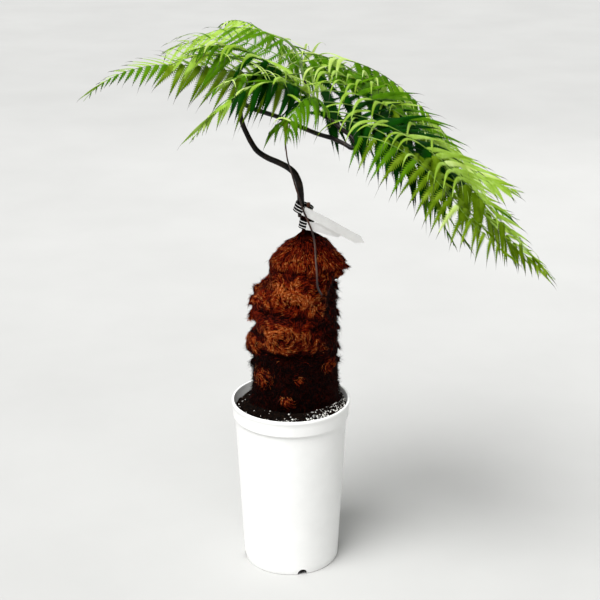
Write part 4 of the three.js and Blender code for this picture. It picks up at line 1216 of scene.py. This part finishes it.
def buildFronds():
    books = {kind: LeafBook() for kind in leafKinds}
    first, last = growth["firstShare"], growth["lastShare"]
    for k, frond in enumerate(allFronds()):
        random = randomSource(growth["firstSeed"] + growth["seedStep"] * k)
        chance = randomSource(growth["firstSeed"] * 3 + k)
        carrier = youngPath if frond["name"] == "frond_young" else ribPath
        stations = ribStations(frond, pointAt(carrier, frond["at"]))
        growRib(stations, books["rib"])
        pairs = round(frond["pairs"] * growth["morePairs"])
        shares = first + (last - first) * (np.arange(pairs) / (pairs - 1)) ** growth["crowding"]
        for i, share in enumerate(shares):
            gap = shares[min(i + 1, pairs - 1)] - shares[max(i - 1, 0)]
            room = frond["length"] * gap / (2 if 0 < i < pairs - 1 else 1)
            growPair(frond, stations, share, room, random, chance, books)
        growTail(frond, stations, books)
    nodes = [frond["name"] for frond in fronds]
    for kind, (name, material) in leafKinds.items():
        book = books[kind]
        faces = [tuple(dict.fromkeys(face)) for face in np.vstack(book.faces).tolist()]
        piece = makeMesh(name, np.vstack(book.points), faces, material)
        finishPiece(piece, "frond", *nodes)
        print(name, "ready", len(faces))


buildFronds()

# Plant labels: blank film, its loop printed with plain stripes
tags = {
    "thickness": 0.5, "width": 12, "loopSteps": 49, "stripSteps": 40, "ripple": 1.2, "rippleTurn": 5,
    "curlTurn": 1.3 * math.pi, "bluntness": 0.04,
    "rows": [
        {"piece": "upperLabel", "node": "tag_upper", "loopRadius": 12, "centre": (22, 0, 519), "dip": 20,
         "droop": 8, "length": 92, "end": 9, "curl": 3},
        {"piece": "lowerLabel", "node": "tag_lower", "loopRadius": 9.2, "centre": (26, 0, 498), "dip": 10,
         "droop": 3, "length": 50, "end": 6, "curl": 2},
    ],
}
filmMaterial = makeMaterial("whiteLabelFilm", ["#efedeb", "#fbfaf8"], 25, 0.42, (6, 0.15, 0.4), 0.05, 0.06)
stripe = {"count": 3.0, "halfWidth": 0.1, "film": "#040404", "line": "#f4f2f0"}


def stripeMaterial():
    # Film printed black with three white lines that run round the loop
    material, tree = newMaterial("stripedLabelFilm")
    place = addNode(tree, "ShaderNodeUVMap", uv_map="labelMap")
    across = addNode(tree, "ShaderNodeSeparateXYZ", {0: place})
    part = calculate(tree, "FRACT", calculate(tree, "MULTIPLY", across.outputs["Y"], stripe["count"]))
    away = calculate(tree, "ABSOLUTE", calculate(tree, "SUBTRACT", part, 0.5))
    line = calculate(tree, "LESS_THAN", away, stripe["halfWidth"])
    mixed = {0: line, 6: hexColour(stripe["film"]), 7: hexColour(stripe["line"])}
    colour = addNode(tree, "ShaderNodeMix", mixed, data_type="RGBA")
    skin = addNode(tree, "ShaderNodeBsdfPrincipled",
                   {"Base Color": colour.outputs[2], "Roughness": 0.5, "Specular IOR Level": 0.1})
    addNode(tree, "ShaderNodeOutputMaterial", {"Surface": skin})
    return material


stripes = stripeMaterial()


def bandMesh(name, middle, axis, outward, width, thickness, material):
    # A flat band along a line, with its width along `axis` and its thickness along `outward`
    count = len(middle)
    points = []
    for side, out in ((-1, 0), (1, 0), (1, 1), (-1, 1)):
        points.append(middle + axis * (side * width / 2)[:, None] + outward * (out * thickness))
    points = np.stack(points, 1).reshape(-1, 3)
    piece = makeMesh(name, points, ringFaces(count, 4), material, False)
    layer = piece.data.uv_layers.new(name="labelMap")
    for polygon in piece.data.polygons:
        for corner in polygon.loop_indices:
            vertex = piece.data.loops[corner].vertex_index
            layer.data[corner].uv = (vertex // 4 / (count - 1), 1.0 if vertex % 4 in (1, 2) else 0.0)
    return piece


def turnAbout(points, degrees):
    # Leans towards +X, as the labels hang
    a = math.radians(degrees)
    lean = np.array([[math.cos(a), 0, math.sin(a)], [0, 1, 0], [-math.sin(a), 0, math.cos(a)]])
    return points @ lean.T


def buildTag(row):
    thickness, wide = tags["thickness"], tags["width"]
    centre, upright = np.array(row["centre"], float), np.array([[0, 0, 1.0]])
    # The loop round the stalk
    steps, dip = tags["loopSteps"], row["dip"]
    turns = np.linspace(-math.pi / 2, 1.5 * math.pi, steps)
    way = np.stack([np.cos(turns), np.sin(turns), np.zeros(steps)], 1)
    loop = bandMesh(row["piece"] + "Loop", turnAbout(way * row["loopRadius"], dip) + centre,
                    np.tile(turnAbout(upright, dip), (steps, 1)), turnAbout(way, dip),
                    np.full(steps, float(wide)), thickness, stripes)
    # The strip that hangs from it, curling a little, with a pointed end
    steps, lean = tags["stripSteps"], row["dip"] + row["droop"]
    share = np.linspace(0, 1, steps)
    reach = share * row["length"]
    back = -row["loopRadius"] - row["curl"] * np.sin(share * tags["curlTurn"]) - thickness
    strip = np.stack([reach, back, tags["ripple"] * np.sin(share * tags["rippleTurn"])], 1)
    width = wide * np.clip((row["length"] - reach) / row["end"] + tags["bluntness"], 0, 1)
    flag = bandMesh(row["piece"] + "Strip", turnAbout(strip, lean) + centre,
                    np.tile(turnAbout(upright, lean), (steps, 1)), np.tile([[0, 1.0, 0]], (steps, 1)),
                    width, thickness, filmMaterial)
    finishPiece(loop, "tag_film", row["node"])
    finishPiece(flag, "tag_film", row["node"])


for row in tags["rows"]:
    buildTag(row)
print("labels ready")
